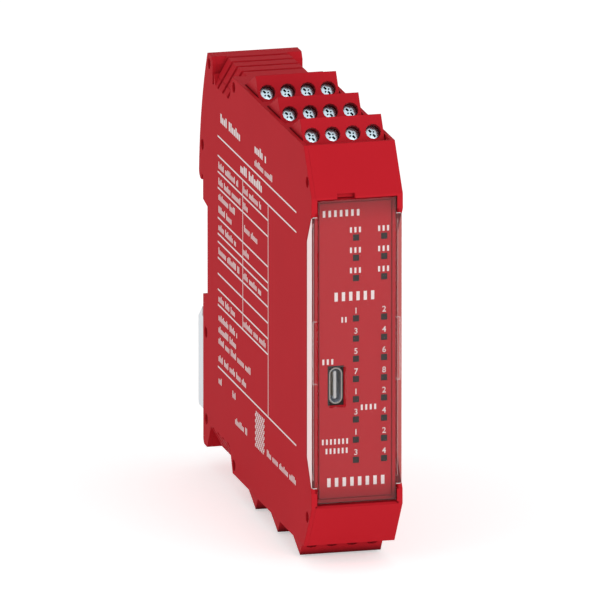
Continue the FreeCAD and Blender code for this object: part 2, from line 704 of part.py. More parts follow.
def add_port():
    shell = add_body("port_shell")
    outside = add_sketch(shell, "shell_outside", "XZ_Plane", f"-{DISPLAY_FRONT}")
    draw_port(outside, "0")
    length = f"{DISPLAY_FRONT} - {PANEL_FRONT}"
    add_feature("Pad", outside, length)
    inside = add_sketch(shell, "shell_inside", "XZ_Plane", f"-{PANEL_FRONT}")
    draw_port(inside, "dim.port_sheet")
    add_feature("Pocket", inside, length)
    finish(shell, "port_shell")

    tongue = add_body("port_tongue")
    base = add_sketch(tongue, "tongue_base", "XZ_Plane", f"-{DISPLAY_FRONT}")
    draw_port(base, "dim.port_sheet")
    add_feature("Pad", base, "dim.blade_base")
    blade = add_sketch(tongue, "tongue_blade", "XZ_Plane", f"-{DISPLAY_FRONT}")
    draw_rectangle(blade, "dim.port_place - dim.blade_sheet / 2", "dim.port_height - dim.blade_length / 2",
                   "dim.port_place + dim.blade_sheet / 2", "dim.port_height + dim.blade_length / 2")
    add_feature("Pad", blade, f"{length} - dim.blade_inset")
    finish(tongue, "port_tongue")


# Rail bus socket in the floor of the rail recess
def bus_place(order):
    return f"{order - (BUS_CONTACTS - 1) / 2} * dim.bus_pitch"


def add_bus():
    socket = add_body("bus_socket")
    face = "dim.recess_depth + dim.bus_sink"
    block = add_sketch(socket, "bus_block", "XZ_Plane", face)
    draw_rectangle(block, "-dim.bus_width / 2", "-dim.bus_height / 2",
                   "dim.bus_width / 2", "dim.bus_height / 2")
    add_feature("Pad", block, "dim.bus_depth")
    slots = add_sketch(socket, "bus_slots", "XZ_Plane", face)
    tall = "(dim.bus_height / 2 - dim.rim_wall)"
    for order in range(BUS_CONTACTS):
        x = bus_place(order)
        draw_rectangle(slots, f"{x} - dim.bus_slot / 2", f"-{tall}", f"{x} + dim.bus_slot / 2", tall)
    add_feature("Pocket", slots, "dim.bus_slot_depth", True)
    finish(socket, "bus_socket")
    blades = []
    for order in range(BUS_CONTACTS):
        blades.append(add_box(
            f"bus_blade_{order + 1}", bus_place(order), "dim.bus_blade",
            f"-({face} + dim.bus_slot_depth)", "dim.bus_slot_depth - dim.bus_sink",
            f"-({tall} - dim.bus_play)", f"2 * ({tall} - dim.bus_play)"))
    finish(combine("Compound", "bus_contacts", blades), "bus_contacts")


# Rail latch, which slides down to let go of the rail, and the bowed spring below its tongue
LATCH_TOP = f"-({RAIL_EDGE} + dim.rail_play)"
TONGUE_END = "-(dim.groove_end - dim.spring_height)"


def add_latch():
    latch = add_body("rail_latch")
    side = add_sketch(latch, "latch_outline", "YZ_Plane")
    catch = "dim.rail_sheet + dim.rail_play"
    draw_outline(side, [
        ("dim.latch_gap", LATCH_TOP), (catch, LATCH_TOP), (catch, f"{LATCH_TOP} + dim.latch_catch"),
        ("dim.latch_thickness", f"{LATCH_TOP} + dim.latch_catch - dim.latch_bevel"),
        ("dim.latch_thickness", "-(dim.latch_end - dim.latch_end_bevel)"),
        ("dim.latch_thickness - dim.latch_end_bevel", "-dim.latch_end"), ("dim.latch_gap", "-dim.latch_end"),
    ])
    add_feature("Pad", side, "dim.housing_width - 2 * dim.latch_inset", midplane=True)
    for part, half, near, length in (
            ("stem", "dim.tongue_width / 2", "-dim.latch_gap", "dim.tongue_depth + dim.latch_gap"),
            ("flange", "dim.tongue_width / 2 + dim.tongue_flange", "dim.tongue_depth - dim.tongue_lip",
             "dim.tongue_lip")):
        tongue = add_sketch(latch, f"latch_{part}", "XZ_Plane", near)
        draw_rectangle(tongue, f"-({half})", TONGUE_END, half, LATCH_TOP)
        add_feature("Pad", tongue, length)
    foot = add_sketch(latch, "latch_pry_slot", "XZ_Plane", "-dim.latch_thickness")
    low = "-(dim.latch_end - dim.latch_end_bevel - 2 * dim.pry_height)"
    draw_rectangle(foot, "-dim.pry_width / 2", f"{low} - dim.pry_height", "dim.pry_width / 2", low)
    add_feature("Pocket", foot, "dim.pry_depth", True)
    finish(latch, "rail_latch")


def add_latch_spring():
    spring = add_body("latch_spring")
    bow = add_sketch(spring, "spring_bow", "XZ_Plane", "dim.tongue_depth - dim.tongue_lip")
    half = "(dim.spring_span / 2)"
    rise = "(dim.spring_height - dim.spring_gap)"
    radius = f"(({half} * {half} + {rise} * {rise}) / (2 * {rise}))"
    inner = f"({radius} - dim.spring_sheet)"
    foot = f"sqrt({inner} * {inner} - ({radius} - {rise}) * ({radius} - {rise}))"
    low = "-dim.groove_end"
    draw_outline(bow, [
        (f"-{half}", low, radius), (half, low), (foot, low, inner, "back"), (f"-{foot}", low),
    ])
    add_feature("Pad", bow, "dim.tongue_lip")
    finish(spring, "latch_spring")


# Terminal plugs. Each is drawn with its tip at the origin and then put in its bay.
# Screws and clamps share a frame turned by the tilt of the screw face: its Y runs into that face.
TILT = "-dim.screw_face_tilt"


def plug_bays():
    """Name, turn about Y and place of each plug: three along the top, three along the bottom."""
    for side, turn, height in (("top", "0", TIP), ("bottom", "180", f"-({TIP})")):
        for order in range(PLUGS_PER_SIDE):
            yield f"{side}_{order + 1}", turn, ("0", plug_tip(order), height)


def tilted(y, z):
    """Place of a point given in the tilted frame, as Y and Z from the plug's tip."""
    across = "cos(dim.screw_face_tilt)"
    along = "sin(dim.screw_face_tilt)"
    return f"({y}) * {across} + ({z}) * {along}", f"({z}) * {across} - ({y}) * {along}"


def tilted_box(name, x, width, low_y, length, low_z, height):
    y, z = tilted(low_y, low_z)
    return add_solid("Box", name, (f"{x} - ({width}) / 2", y, z), TILT,
                     Length=width, Width=length, Height=height)


def screw_prism(name, sides, x, start, length, diameter):
    """A round feature on a terminal screw's axis, from its depth below the screw face."""
    y, z = tilted(start, "-dim.screw_from_tip")
    return add_prism(name, sides, diameter, length, (x, y, z), f"{TILT} - 90")


def add_plug_shape(name):
    block = add_body(f"plug_block_{name}")
    side = add_sketch(block, f"plug_outline_{name}", "YZ_Plane")
    draw_outline(side, [
        ("0", "0"), (f"-{SCREW_FACE_REACH}", f"-{SCREW_FACE_DROP}"),
        (f"-{SCREW_FACE_REACH}", "-dim.plug_base"),
        ("dim.plug_back", "-dim.plug_base"), ("dim.plug_back", "-dim.wire_face_drop"),
    ])
    add_feature("Pad", side, PLUG_WIDTH, midplane=True)
    hollows = []
    mouth = "dim.screw_face_length / 4"
    half_length = "(dim.clamp_length / 2 + dim.clamp_play)"
    half_height = "(dim.clamp_height / 2 + dim.clamp_play)"
    pin_hole = "(dim.pin_width + 2 * dim.pin_play)"
    for way in range(WAYS):
        x = way_place(way)
        mark = f"{name}_{way + 1}"
        hollows.append(screw_prism(f"screw_hole_{mark}", ROUND_SIDES, x, "-dim.screw_recess",
                                   "dim.clamp_depth + dim.screw_recess", "dim.screw_hole"))
        hollows.append(tilted_box(
            f"wire_hole_{mark}", x, "dim.clamp_width + 2 * dim.clamp_play",
            f"dim.clamp_depth - {half_height}", f"2 * {half_height}",
            f"-dim.screw_from_tip - {half_length}", f"dim.screw_from_tip + {half_length} + {mouth}"))
        hollows.append(add_box(
            f"pin_hole_{mark}", x, pin_hole, f"dim.pin_behind_tip - {pin_hole} / 2", pin_hole,
            "-dim.plug_base - dim.pin_play", "dim.pin_rise + 2 * dim.pin_play"))
    return cut(f"terminal_plug_{name}", block, combine("MultiFuse", f"plug_hollows_{name}", hollows))


def add_clamps(name):
    sleeves = []
    opening = "(dim.clamp_height - 2 * dim.clamp_sheet)"
    for way in range(WAYS):
        x = way_place(way)
        mark = f"{name}_{way + 1}"
        low = "-dim.screw_from_tip - dim.clamp_length / 2"
        outside = tilted_box(f"sleeve_{mark}", x, "dim.clamp_width", "dim.clamp_depth - dim.clamp_height / 2",
                             "dim.clamp_height", low, "dim.clamp_length")
        inside = tilted_box(f"sleeve_bore_{mark}", x, "dim.clamp_width - 2 * dim.clamp_sheet",
                            f"dim.clamp_depth - {opening} / 2", opening,
                            f"{low} - dim.clamp_sheet", "dim.clamp_length + 2 * dim.clamp_sheet")
        tapped = screw_prism(f"sleeve_thread_{mark}", THREAD_SIDES, x, "0", "dim.clamp_depth",
                             "dim.screw_shank + 2 * dim.thread_play")
        sleeves.append(cut(f"wire_clamp_{mark}", outside,
                           combine("MultiFuse", f"sleeve_cuts_{mark}", [inside, tapped])))
    return combine("Compound", f"wire_clamps_{name}", sleeves)


def add_screw(name, way):
    x = way_place(way)
    mark = f"{name}_{way + 1}"
    neck = "dim.screw_recess + dim.screw_head_height"
    head = screw_prism(f"screw_head_{mark}", ROUND_SIDES, x, "dim.screw_recess",
                       "dim.screw_head_height", "dim.screw_head")
    shank = screw_prism(f"screw_shank_{mark}", THREAD_SIDES, x, neck,
                        "dim.screw_shank_length", "dim.screw_shank")
    whole = combine("MultiFuse", f"screw_blank_{mark}", [head, shank])
    cross = []
    for bar, width, height in (("a", "dim.cross_length", "dim.cross_width"),
                               ("b", "dim.cross_width", "dim.cross_length")):
        cross.append(tilted_box(f"cross_{bar}_{mark}", x, width, "dim.screw_recess - dim.cross_depth",
                                "2 * dim.cross_depth", f"-dim.screw_from_tip - {height} / 2", height))
    return cut(f"terminal_screw_{mark}", whole, combine("MultiFuse", f"cross_{mark}", cross))


def add_plugs():
    for name, turn, place in plug_bays():
        group = [(add_plug_shape(name), f"terminal_plug_{name}"), (add_clamps(name), f"wire_clamps_{name}")]
        for way in range(WAYS):
            group.append((add_screw(name, way), f"terminal_screw_{name}_{way + 1}"))
        for solid, label in group:
            put(solid, place, turn, (0, 1, 0))
            finish(solid, label)


# Pin headers below the bay floors, with pins that bend over to the main board
def add_headers():
    pins = []
    for name, turn, (_, tip, _) in plug_bays():
        sign = "-" if name.startswith("bottom") else ""
        middle = f"({tip} + dim.pin_behind_tip)"
        neck = f"({INNER} - dim.header_play)"
        board_side = f"({BOARD_FACE} - dim.header_play)"
        low = f"({CEILING} - dim.header_drop)"
        body = add_body(f"pin_header_{name}")
        shape = add_sketch(body, f"header_outline_{name}", "XZ_Plane", f"-{middle} - dim.header_length / 2")
        draw_outline(shape, [
            (f"-{neck}", f"{sign}{BAY_FLOOR}"), (neck, f"{sign}{BAY_FLOOR}"), (neck, f"{sign}{CEILING}"),
            (board_side, f"{sign}{CEILING}"), (board_side, f"{sign}{low}"), (f"-{neck}", f"{sign}{low}"),
        ])
        add_feature("Pad", shape, "dim.header_length")
        holes = add_sketch(body, f"header_holes_{name}", "XY_Plane", f"{sign}{BAY_FLOOR}")
        half = "(dim.pin_width / 2 + dim.pin_seat_play)"
        for way in range(WAYS):
            x = way_place(way)
            draw_rectangle(holes, f"{x} - {half}", f"{middle} - {half}",
                           f"{x} + {half}", f"{middle} + {half}")
        add_feature("Pocket", holes, "dim.header_drop + dim.rim_wall", bool(sign))
        finish(body, f"pin_header_{name}")
        for way in range(WAYS):
            pins.append(add_pin(f"{name}_{way + 1}", way, middle, low, sign))
    finish(combine("Compound", "header_pins", pins), "header_pins")


def add_pin(mark, way, middle, header_low, sign):
    x = way_place(way)
    thick = "dim.pin_width"
    bend = f"({header_low} - {WAYS - way} * dim.pin_level)"
    tip = f"({BAY_FLOOR} + dim.pin_rise)"
    low_y = f"{middle} - {thick} / 2"
    upright_low = f"-{tip}" if sign else bend
    upright = add_box(f"pin_upright_{mark}", x, thick, low_y, thick, upright_low, f"{tip} - {bend}")
    arm_low = f"-({bend} + {thick})" if sign else bend
    arm = add_solid("Box", f"pin_arm_{mark}", (f"{x} - {thick} / 2", low_y, arm_low),
                    Length=f"{BOARD_FACE} - ({x} - {thick} / 2)", Width=thick, Height=thick)
    return combine("MultiFuse", f"header_pin_{mark}", [upright, arm])


# The whole controller
shoulder_cutters = add_shoulder_cutters()
add_housing(shoulder_cutters)
add_side_cover(shoulder_cutters)
add_front_cover()
add_front_panel()
add_lights()
add_boards()
add_port()
add_bus()
add_latch()
add_latch_spring()
add_plugs()
add_headers()
doc.recompute()

# Checks: nothing failed, every pocket took material away, every sub-part is a sound solid
for item in doc.Objects:
    if {"Invalid", "Error"} & set(item.State):
        raise RuntimeError(f"{item.Label} failed: {item.State}")
    if item.TypeId == "PartDesign::Pocket" and item.Shape.Volume >= item.BaseFeature.Shape.Volume:
        raise RuntimeError(f"{item.Label} cuts nothing")
os.makedirs("parts", exist_ok=True)
for solid in nodes:
    if solid.Shape.isNull() or not solid.Shape.isValid() or not solid.Shape.Solids:
        raise RuntimeError(f"{solid.Label} is not a sound solid")
for solid in nodes:
    solid.Shape.exportStep(f"parts/{solid.Label}.step")
    box = solid.Shape.BoundBox
    print(f"{solid.Label}: {len(solid.Shape.Solids)} solid, {solid.Shape.Volume:.1f} mm3,"
          f" X {box.XMin:.2f} {box.XMax:.2f} Y {box.YMin:.2f} {box.YMax:.2f} Z {box.ZMin:.2f} {box.ZMax:.2f}")
print(f"{len(nodes)} sub-parts")
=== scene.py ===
# %% [markdown]
# # A modular safety controller
#
# The object is a slim red module that snaps onto a 35 mm rail. This lesson loads its construction as a
# fixed frame, gives every surface the finish of the real material, and adds the small things that are
# too fine for the construction: screw heads, print, and the collar and contact strips of the port.
# The spring of the latch is made again as well.
# Everything is in metres, in the frame of the construction: X to the right, Y to the back, Z up.

# %% Load the frame
import json
import math
import random

import bmesh
import bpy
from mathutils import Matrix, Vector


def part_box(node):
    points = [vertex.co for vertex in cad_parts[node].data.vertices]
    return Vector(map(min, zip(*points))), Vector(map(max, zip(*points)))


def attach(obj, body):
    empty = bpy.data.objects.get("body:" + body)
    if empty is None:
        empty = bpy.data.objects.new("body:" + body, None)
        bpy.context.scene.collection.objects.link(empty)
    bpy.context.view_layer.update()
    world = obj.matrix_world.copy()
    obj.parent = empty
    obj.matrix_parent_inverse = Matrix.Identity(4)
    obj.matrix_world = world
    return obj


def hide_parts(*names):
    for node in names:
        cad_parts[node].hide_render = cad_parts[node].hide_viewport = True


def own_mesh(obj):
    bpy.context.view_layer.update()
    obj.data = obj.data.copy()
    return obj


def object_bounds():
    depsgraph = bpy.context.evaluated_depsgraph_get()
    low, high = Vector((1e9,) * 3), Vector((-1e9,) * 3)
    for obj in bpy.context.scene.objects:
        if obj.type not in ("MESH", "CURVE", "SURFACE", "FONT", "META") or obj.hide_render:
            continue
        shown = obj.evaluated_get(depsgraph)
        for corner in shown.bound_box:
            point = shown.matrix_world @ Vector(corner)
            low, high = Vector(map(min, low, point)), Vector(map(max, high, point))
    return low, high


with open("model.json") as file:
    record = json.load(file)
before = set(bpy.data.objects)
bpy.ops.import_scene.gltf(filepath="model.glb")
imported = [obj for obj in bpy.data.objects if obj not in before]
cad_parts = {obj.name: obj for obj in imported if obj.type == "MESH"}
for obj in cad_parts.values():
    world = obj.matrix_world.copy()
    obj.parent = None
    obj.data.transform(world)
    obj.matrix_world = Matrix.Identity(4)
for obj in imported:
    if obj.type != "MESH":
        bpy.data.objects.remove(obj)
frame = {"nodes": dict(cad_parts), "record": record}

MM = 0.001
cad_box = [list(corner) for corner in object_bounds()]
nodes = frame["nodes"]
print("nodes", len(nodes), "box in mm", [[round(v / MM, 2) for v in corner] for corner in cad_box])

# %% [markdown]
# ## Helpers for materials
#
# Colours are written as sRGB hex values, as a designer would pick them, while shaders calculate with
# linear light, so one function converts them. A second function adds any node to a material: it sets
# the node's own properties, and each input gets either a plain value or a link from another node. A
# third starts a material and sets what is the same all over its surface.


# %% Colour and node helpers
def linear(hex_code, alpha=1.0):
    """sRGB hex to linear red, green, blue and alpha."""
    channels = [int(hex_code[start:start + 2], 16) / 255 for start in (1, 3, 5)]
    return [c / 12.92 if c <= 0.04045 else ((c + 0.055) / 1.055) ** 2.4 for c in channels] + [alpha]


def add_node(tree, kind, inputs=None, **settings):
    """Add a node, set its properties, and feed its inputs with values or with other nodes' outputs."""
    made = tree.nodes.new(kind)
    for name, setting in settings.items():
        setattr(made, name, setting)
    for name, value in (inputs or {}).items():
        if isinstance(value, bpy.types.NodeSocket):
            tree.links.new(value, made.inputs[name])
        else:
            made.inputs[name].default_value = value
    return made


def new_material(name, surface):
    """A material with one principled surface, and the values that are the same all over it."""
    material = bpy.data.materials.new(name)
    material.use_nodes = True
    tree = material.node_tree
    shader = tree.nodes["Principled BSDF"]
    for socket, value in surface.items():
        shader.inputs[socket].default_value = value
    return material, tree, shader


print("white, linear", linear("#FFFFFF"))

# %% [markdown]
# ## Camera
#
# The view is a parallel one, from a little left and a little above. An orthographic camera would do, but
# a very long lens far away gives the same picture and is easy to move round the object for other views.

# %% Camera
AZIMUTH = math.radians(-14.24)
ELEVATION = math.radians(14.57)
FRAME_WIDTH = 144.68 * MM
VIEW_CENTER = Vector((0.1, -51.0, -1.42)) * MM
LENS_MM = 1500.0

camera_data = bpy.data.cameras.new("camera")
camera_data.lens = LENS_MM
camera_distance = FRAME_WIDTH * LENS_MM / camera_data.sensor_width
camera_data.clip_end = 4 * camera_distance
toward_camera = Vector((math.sin(AZIMUTH) * math.cos(ELEVATION), -math.cos(AZIMUTH) * math.cos(ELEVATION),
                        math.sin(ELEVATION)))
camera = bpy.data.objects.new("camera", camera_data)
camera.location = VIEW_CENTER + toward_camera * camera_distance
camera.rotation_euler = toward_camera.to_track_quat("Z", "Y").to_euler()
bpy.context.collection.objects.link(camera)
bpy.context.scene.camera = camera
bpy.context.scene.view_settings.view_transform = "Standard"
print("camera", round(camera_distance, 3), "m away")

# %% [markdown]
# ## Light
#
# The module stands in an even studio light that is a little stronger from the front right. An even sky and
# two soft boxes give it. The ground behind has to be white, and more light would bleach the red. So the sky
# is white only where it is seen: straight on, through clear plastic or in a mirror image.


# %% World light
def seen_directly(tree):
    """1 for rays that show a thing itself or its mirror image, and 0 for light that falls on others."""
    ray = add_node(tree, "ShaderNodeLightPath")
    direct = add_node(tree, "ShaderNodeMath", {0: ray.outputs["Is Camera Ray"],
                                               1: ray.outputs["Is Transmission Ray"]}, operation="MAXIMUM")
    seen = add_node(tree, "ShaderNodeMath", {0: direct.outputs[0], 1: ray.outputs["Is Glossy Ray"]},
                    operation="MAXIMUM")
    return seen.outputs[0]


SKY_LEVEL, SKY_WHITE = 0.55, 1.0
world = bpy.data.worlds.new("studio")
world.use_nodes = True
bpy.context.scene.world = world
sky = world.node_tree
sky_shader = sky.nodes["Background"]
level = add_node(sky, "ShaderNodeMapRange", {"Value": seen_directly(sky), "To Min": SKY_LEVEL,
                                             "To Max": SKY_WHITE})
sky_shader.inputs["Color"].default_value = linear("#FFFFFF")
sky.links.new(level.outputs["Result"], sky_shader.inputs["Strength"])
print("sky", SKY_LEVEL, "on the object,", SKY_WHITE, "where it is seen")


# %% Lamps
def add_lamp(name, place, aim, size, watts):
    """A square soft box that looks from its place at a point, all in metres."""
    data = bpy.data.lights.new(name, "AREA")
    data.size = size
    data.energy = watts
    lamp = bpy.data.objects.new(name, data)
    lamp.location = place
    lamp.rotation_euler = (Vector(place) - Vector(aim)).to_track_quat("Z", "Y").to_euler()
    bpy.context.collection.objects.link(lamp)


object_center = (Vector(cad_box[0]) + Vector(cad_box[1])) / 2
add_lamp("front_box", place=(0.35, -1.0, 0.25), aim=object_center, size=0.7, watts=4.7)
add_lamp("left_box", place=(-1.0, -0.35, 0.35), aim=object_center, size=0.9, watts=2.0)

# %% [markdown]
# ## Floor
#
# A sheet of white paper under the object catches its soft shadow. Paper alone would come out pale grey in
# this light, so where it is seen it is lifted to white by a little light of its own. A fainter glow for all
# other rays stands for the large white room that would brighten the lower slants.

# %% Floor
FLOOR_SIZE = 3.0
FLOOR_DROP = 0.5 * MM
FLOOR_LIFT, FLOOR_GLOW = 0.45, 0.1
floor_mesh = bpy.data.meshes.new("floor")
half = FLOOR_SIZE / 2
floor_z = cad_box[0][2] - FLOOR_DROP
floor_mesh.from_pydata([(-half, -half, floor_z), (half, -half, floor_z), (half, half, floor_z),
                        (-half, half, floor_z)], [], [(0, 1, 2, 3)])
floor = bpy.data.objects.new("floor", floor_mesh)
bpy.context.collection.objects.link(floor)
# Uncoated paper: dead matt and white, so that it shows nothing but the shadow
floor_material, tree, shader = new_material("white_paper_floor", {
    "Base Color": linear("#FFFFFF"), "Roughness": 0.9, "Specular IOR Level": 0.0})
lift = add_node(tree, "ShaderNodeMapRange", {"Value": seen_directly(tree), "To Min": FLOOR_GLOW,
                                             "To Max": FLOOR_LIFT})
glow = add_node(tree, "ShaderNodeEmission", {"Color": linear("#FFFFFF"), "Strength": lift.outputs["Result"]})
both = add_node(tree, "ShaderNodeAddShader", {0: shader.outputs["BSDF"], 1: glow.outputs["Emission"]})
tree.links.new(both.outputs["Shader"], tree.nodes["Material Output"].inputs["Surface"])
floor_mesh.materials.append(floor_material)
print("floor at", round(floor_z / MM, 2), "mm")

# %% [markdown]
# ## Red moulded polyamide
#
# The housing, its side cover and the plugs are glass-filled polyamide. The tool that moulds them is
# spark-eroded, so the skin is satin, with a fine even grain and hardly any mirror image. A noise texture
# gives the grain as bump, and a second, much wider noise gives the faint change of tone that flowing
# plastic leaves. Moulded edges are never sharp, so a Bevel node rounds the normal there: that needs no
# extra geometry and leaves the construction alone. Deep corners, such as the bores and the vents, let
# little light out again, so an Ambient Occlusion node deepens the red there.

# %% Red polyamide
# The grain of a spark-eroded tool is about 0.05 mm. It is drawn 0.35 mm wide so that it shows at all.
GRAIN_MM, GRAIN_RELIEF_MM, FLOW_MM = 0.35, 0.02, 14.0
# Share of open sky at which a corner gets the full painted shade, and at which it gets none
FULL_SHADE_AT, NO_SHADE_AT = 0.25, 0.75


def moulded_red(name, color, shade, painted_shade_color, roughness, edge_mm, depth_mm):
    """Satin moulded plastic: two tones, a fine grain, softly rounded edges and painted shade in hollow
    corners.
    """
    material, tree, shader = new_material(name, {
        "Roughness": roughness, "Specular IOR Level": 0.03, "IOR": 1.53})
    place = add_node(tree, "ShaderNodeTexCoord").outputs["Object"]
    flow = add_node(tree, "ShaderNodeTexNoise", {"Vector": place, "Scale": 1 / (FLOW_MM * MM), "Detail": 2.0})
    tone = add_node(tree, "ShaderNodeMixRGB", {"Fac": flow.outputs["Fac"], "Color1": linear(color),
                                               "Color2": linear(shade)})
    grain = add_node(tree, "ShaderNodeTexNoise", {"Vector": place, "Scale": 1 / (GRAIN_MM * MM),
                                                  "Detail": 3.0})
    rounded = add_node(tree, "ShaderNodeBevel", {"Radius": edge_mm * MM}, samples=4)
    bump = add_node(tree, "ShaderNodeBump", {"Height": grain.outputs["Fac"], "Strength": 0.25,
                                             "Distance": GRAIN_RELIEF_MM * MM,
                                             "Normal": rounded.outputs["Normal"]})
    openness = add_node(tree, "ShaderNodeAmbientOcclusion", {"Distance": depth_mm * MM}, samples=6)
    clear_of_corners = add_node(tree, "ShaderNodeMapRange", {"Value": openness.outputs["AO"],
                                                             "From Min": FULL_SHADE_AT, "From Max": NO_SHADE_AT})
    # Painted shade: the red turns towards the given dark colour where the Ambient Occlusion node finds a
    # corner
    with_painted_shade = add_node(tree, "ShaderNodeMixRGB", {"Fac": clear_of_corners.outputs["Result"],
                                                   "Color1": linear(painted_shade_color), "Color2": tone.outputs["Color"]})
    tree.links.new(with_painted_shade.outputs["Color"], shader.inputs["Base Color"])
    tree.links.new(bump.outputs["Normal"], shader.inputs["Normal"])
    return material


# Large walls: an even, warm signal red without gloss, with painted shade that darkens the vents and peg holes
housing_red = moulded_red("moulded_red_polyamide", "#C0202B", "#BA1E29", "#5A0A10", roughness=0.62,
                          edge_mm=0.25, depth_mm=0.5)
# Plugs: the same red, a touch smoother, with painted shade that takes bores and wire entries almost to black
plug_red = moulded_red("moulded_plug_polyamide", "#C0212C", "#BA1F2A", "#2C0508", roughness=0.55,
                       edge_mm=0.25, depth_mm=3.0)
# Panel: a shade deeper, with crisp edges, since it lies close under the clear cover, and painted shade only
# in its tightest corners
panel_red = moulded_red("moulded_red_panel", "#B81E29", "#B31C27", "#5A0A10", roughness=0.6,
                        edge_mm=0.1, depth_mm=0.1)
print("red plastics", housing_red.name, plug_red.name, panel_red.name)

# %% [markdown]
# ## Clear polycarbonate
#
# The hinged front cover is one clear moulding. What the eye gets from it is a weak white reflection on its
# flat face, lines along its edges, and pale side wings. Real glass shading would bend every ray twice and
# lose most of the light that falls on the panel, for a shift of a tenth of a millimetre. So the flat faces
# mix a plain transparent part with a mirror, by the Fresnel share of the plastic.
# The outer sides of the wings get a painted reflection: a pale pink that shows when they are seen edge on,
# while they let the red through when seen straight on. From inside, they only pass the light, tinted red
# as a painted reflection of the red around them. Towards the top and bottom ends, painted shade darkens
# what shows through the plate. Along the edges, a painted shade darkens the plate and a painted highlight
# brightens the wings.

# %% Clear polycarbonate: polished faces
FLOW_WAVE_MM, FLOW_WAVE_RELIEF_MM = 9.0, 0.05
# Height above and below the middle where painted shade starts to darken what shows through the plate, and
# where its ends are
END_SHADE_FROM_MM, END_SHADE_FULL_MM = 32.0, 37.5
# The mirror part is white and nearly sharp. The index below is lower than the typical 1.58 of this plastic,
# so that the mirrored white ground doesn't veil the panel.
clear_cover, tree, shader = new_material("clear_polycarbonate", {
    "Base Color": linear("#FFFFFF"), "Metallic": 1.0, "Roughness": 0.06})
place = add_node(tree, "ShaderNodeTexCoord").outputs["Object"]
facing = add_node(tree, "ShaderNodeNewGeometry")
waves = add_node(tree, "ShaderNodeTexNoise", {"Vector": place, "Scale": 1 / (FLOW_WAVE_MM * MM),
                                              "Detail": 1.0})
flow_marks = add_node(tree, "ShaderNodeBump", {"Height": waves.outputs["Fac"], "Strength": 0.05,
                                               "Distance": FLOW_WAVE_RELIEF_MM * MM})
tree.links.new(flow_marks.outputs["Normal"], shader.inputs["Normal"])
fresnel = add_node(tree, "ShaderNodeFresnel", {"IOR": 1.42})
outside = add_node(tree, "ShaderNodeMath", {0: 1.0, 1: facing.outputs["Backfacing"]}, operation="SUBTRACT")
mirror_share = add_node(tree, "ShaderNodeMath", {0: fresnel.outputs["Fac"], 1: outside.outputs[0]},
                        operation="MULTIPLY")
across = add_node(tree, "ShaderNodeSeparateXYZ", {"Vector": place})
from_middle = add_node(tree, "ShaderNodeMath", {0: across.outputs["X"]}, operation="ABSOLUTE")
from_center = add_node(tree, "ShaderNodeMath", {0: across.outputs["Z"]}, operation="ABSOLUTE")
painted_end_shade = add_node(tree, "ShaderNodeMapRange", {"Value": from_center.outputs[0],
                                                   "From Min": END_SHADE_FROM_MM * MM,
                                                   "From Max": END_SHADE_FULL_MM * MM})
# Painted shade: what shows through the plate is darker towards its top and bottom ends
tint_with_end_shade = add_node(tree, "ShaderNodeMixRGB", {"Fac": painted_end_shade.outputs["Result"], "Color1": linear("#FCFAFA"),
                                           "Color2": linear("#EEEBEB")})
see_through = add_node(tree, "ShaderNodeBsdfTransparent", {"Color": tint_with_end_shade.outputs["Color"]})
polished = add_node(tree, "ShaderNodeMixShader", {0: mirror_share.outputs[0], 1: see_through.outputs["BSDF"],
                                                  2: shader.outputs["BSDF"]})
print("polished faces", len(tree.nodes), "nodes")

# %% Clear polycarbonate: painted reflection on the sides of the wings
PAINTED_REFLECTION_FROM_MM = 11.05
on_side = add_node(tree, "ShaderNodeMath", {0: from_middle.outputs[0], 1: PAINTED_REFLECTION_FROM_MM * MM},
                   operation="GREATER_THAN")
slant = add_node(tree, "ShaderNodeLayerWeight", {"Blend": 0.5})
painted_reflection_share = add_node(tree, "ShaderNodeMapRange", {"Value": slant.outputs["Facing"], "From Max": 0.75,
                                                  "To Min": 0.35})
# Painted reflection: a pale pink that shows on the wing sides when seen edge on
pale_painted_reflection = add_node(tree, "ShaderNodeBsdfPrincipled", {"Base Color": linear("#FFDCDA"), "Roughness": 0.2})
painted_reflection_mix = add_node(tree, "ShaderNodeMixShader", {0: painted_reflection_share.outputs["Result"], 1: see_through.outputs["BSDF"],
                                              2: pale_painted_reflection.outputs["BSDF"]})
# Painted reflection: from inside, the wing passes light tinted by a red that stands for the red around it
red_painted_reflection = add_node(tree, "ShaderNodeBsdfTransparent", {"Color": linear("#B45654")})
wing_side = add_node(tree, "ShaderNodeMixShader", {0: facing.outputs["Backfacing"],
                                                   1: painted_reflection_mix.outputs["Shader"], 2: red_painted_reflection.outputs["BSDF"]})
faces = add_node(tree, "ShaderNodeMixShader", {0: on_side.outputs[0], 1: polished.outputs["Shader"],
                                               2: wing_side.outputs["Shader"]})
print("matt from", PAINTED_REFLECTION_FROM_MM, "mm off the middle")

# %% Clear polycarbonate: painted highlights and shade on the edges
EDGE_MM, PLATE_HALF_MM, EDGE_STRENGTH = 0.2, 9.75, 0.7
# A Bevel node finds the edges: a painted highlight on those of the wings, a painted shade on those of the
# plate
rounded = add_node(tree, "ShaderNodeBevel", {"Radius": EDGE_MM * MM}, samples=8)
flatness = add_node(tree, "ShaderNodeVectorMath", {0: rounded.outputs["Normal"],
                                                   1: facing.outputs["Normal"]}, operation="DOT_PRODUCT")
glint = add_node(tree, "ShaderNodeMapRange", {"Value": flatness.outputs["Value"], "From Min": 0.98,
                                              "From Max": 0.85, "To Min": 0.0, "To Max": EDGE_STRENGTH})
edge_painted_highlight = add_node(tree, "ShaderNodeBsdfPrincipled", {"Base Color": linear("#FFFFFF"), "Roughness": 0.3})
edge_painted_shade = add_node(tree, "ShaderNodeBsdfTransparent", {"Color": linear("#CDC0C0")})
on_wing = add_node(tree, "ShaderNodeMath", {0: from_middle.outputs[0], 1: PLATE_HALF_MM * MM},
                   operation="GREATER_THAN")
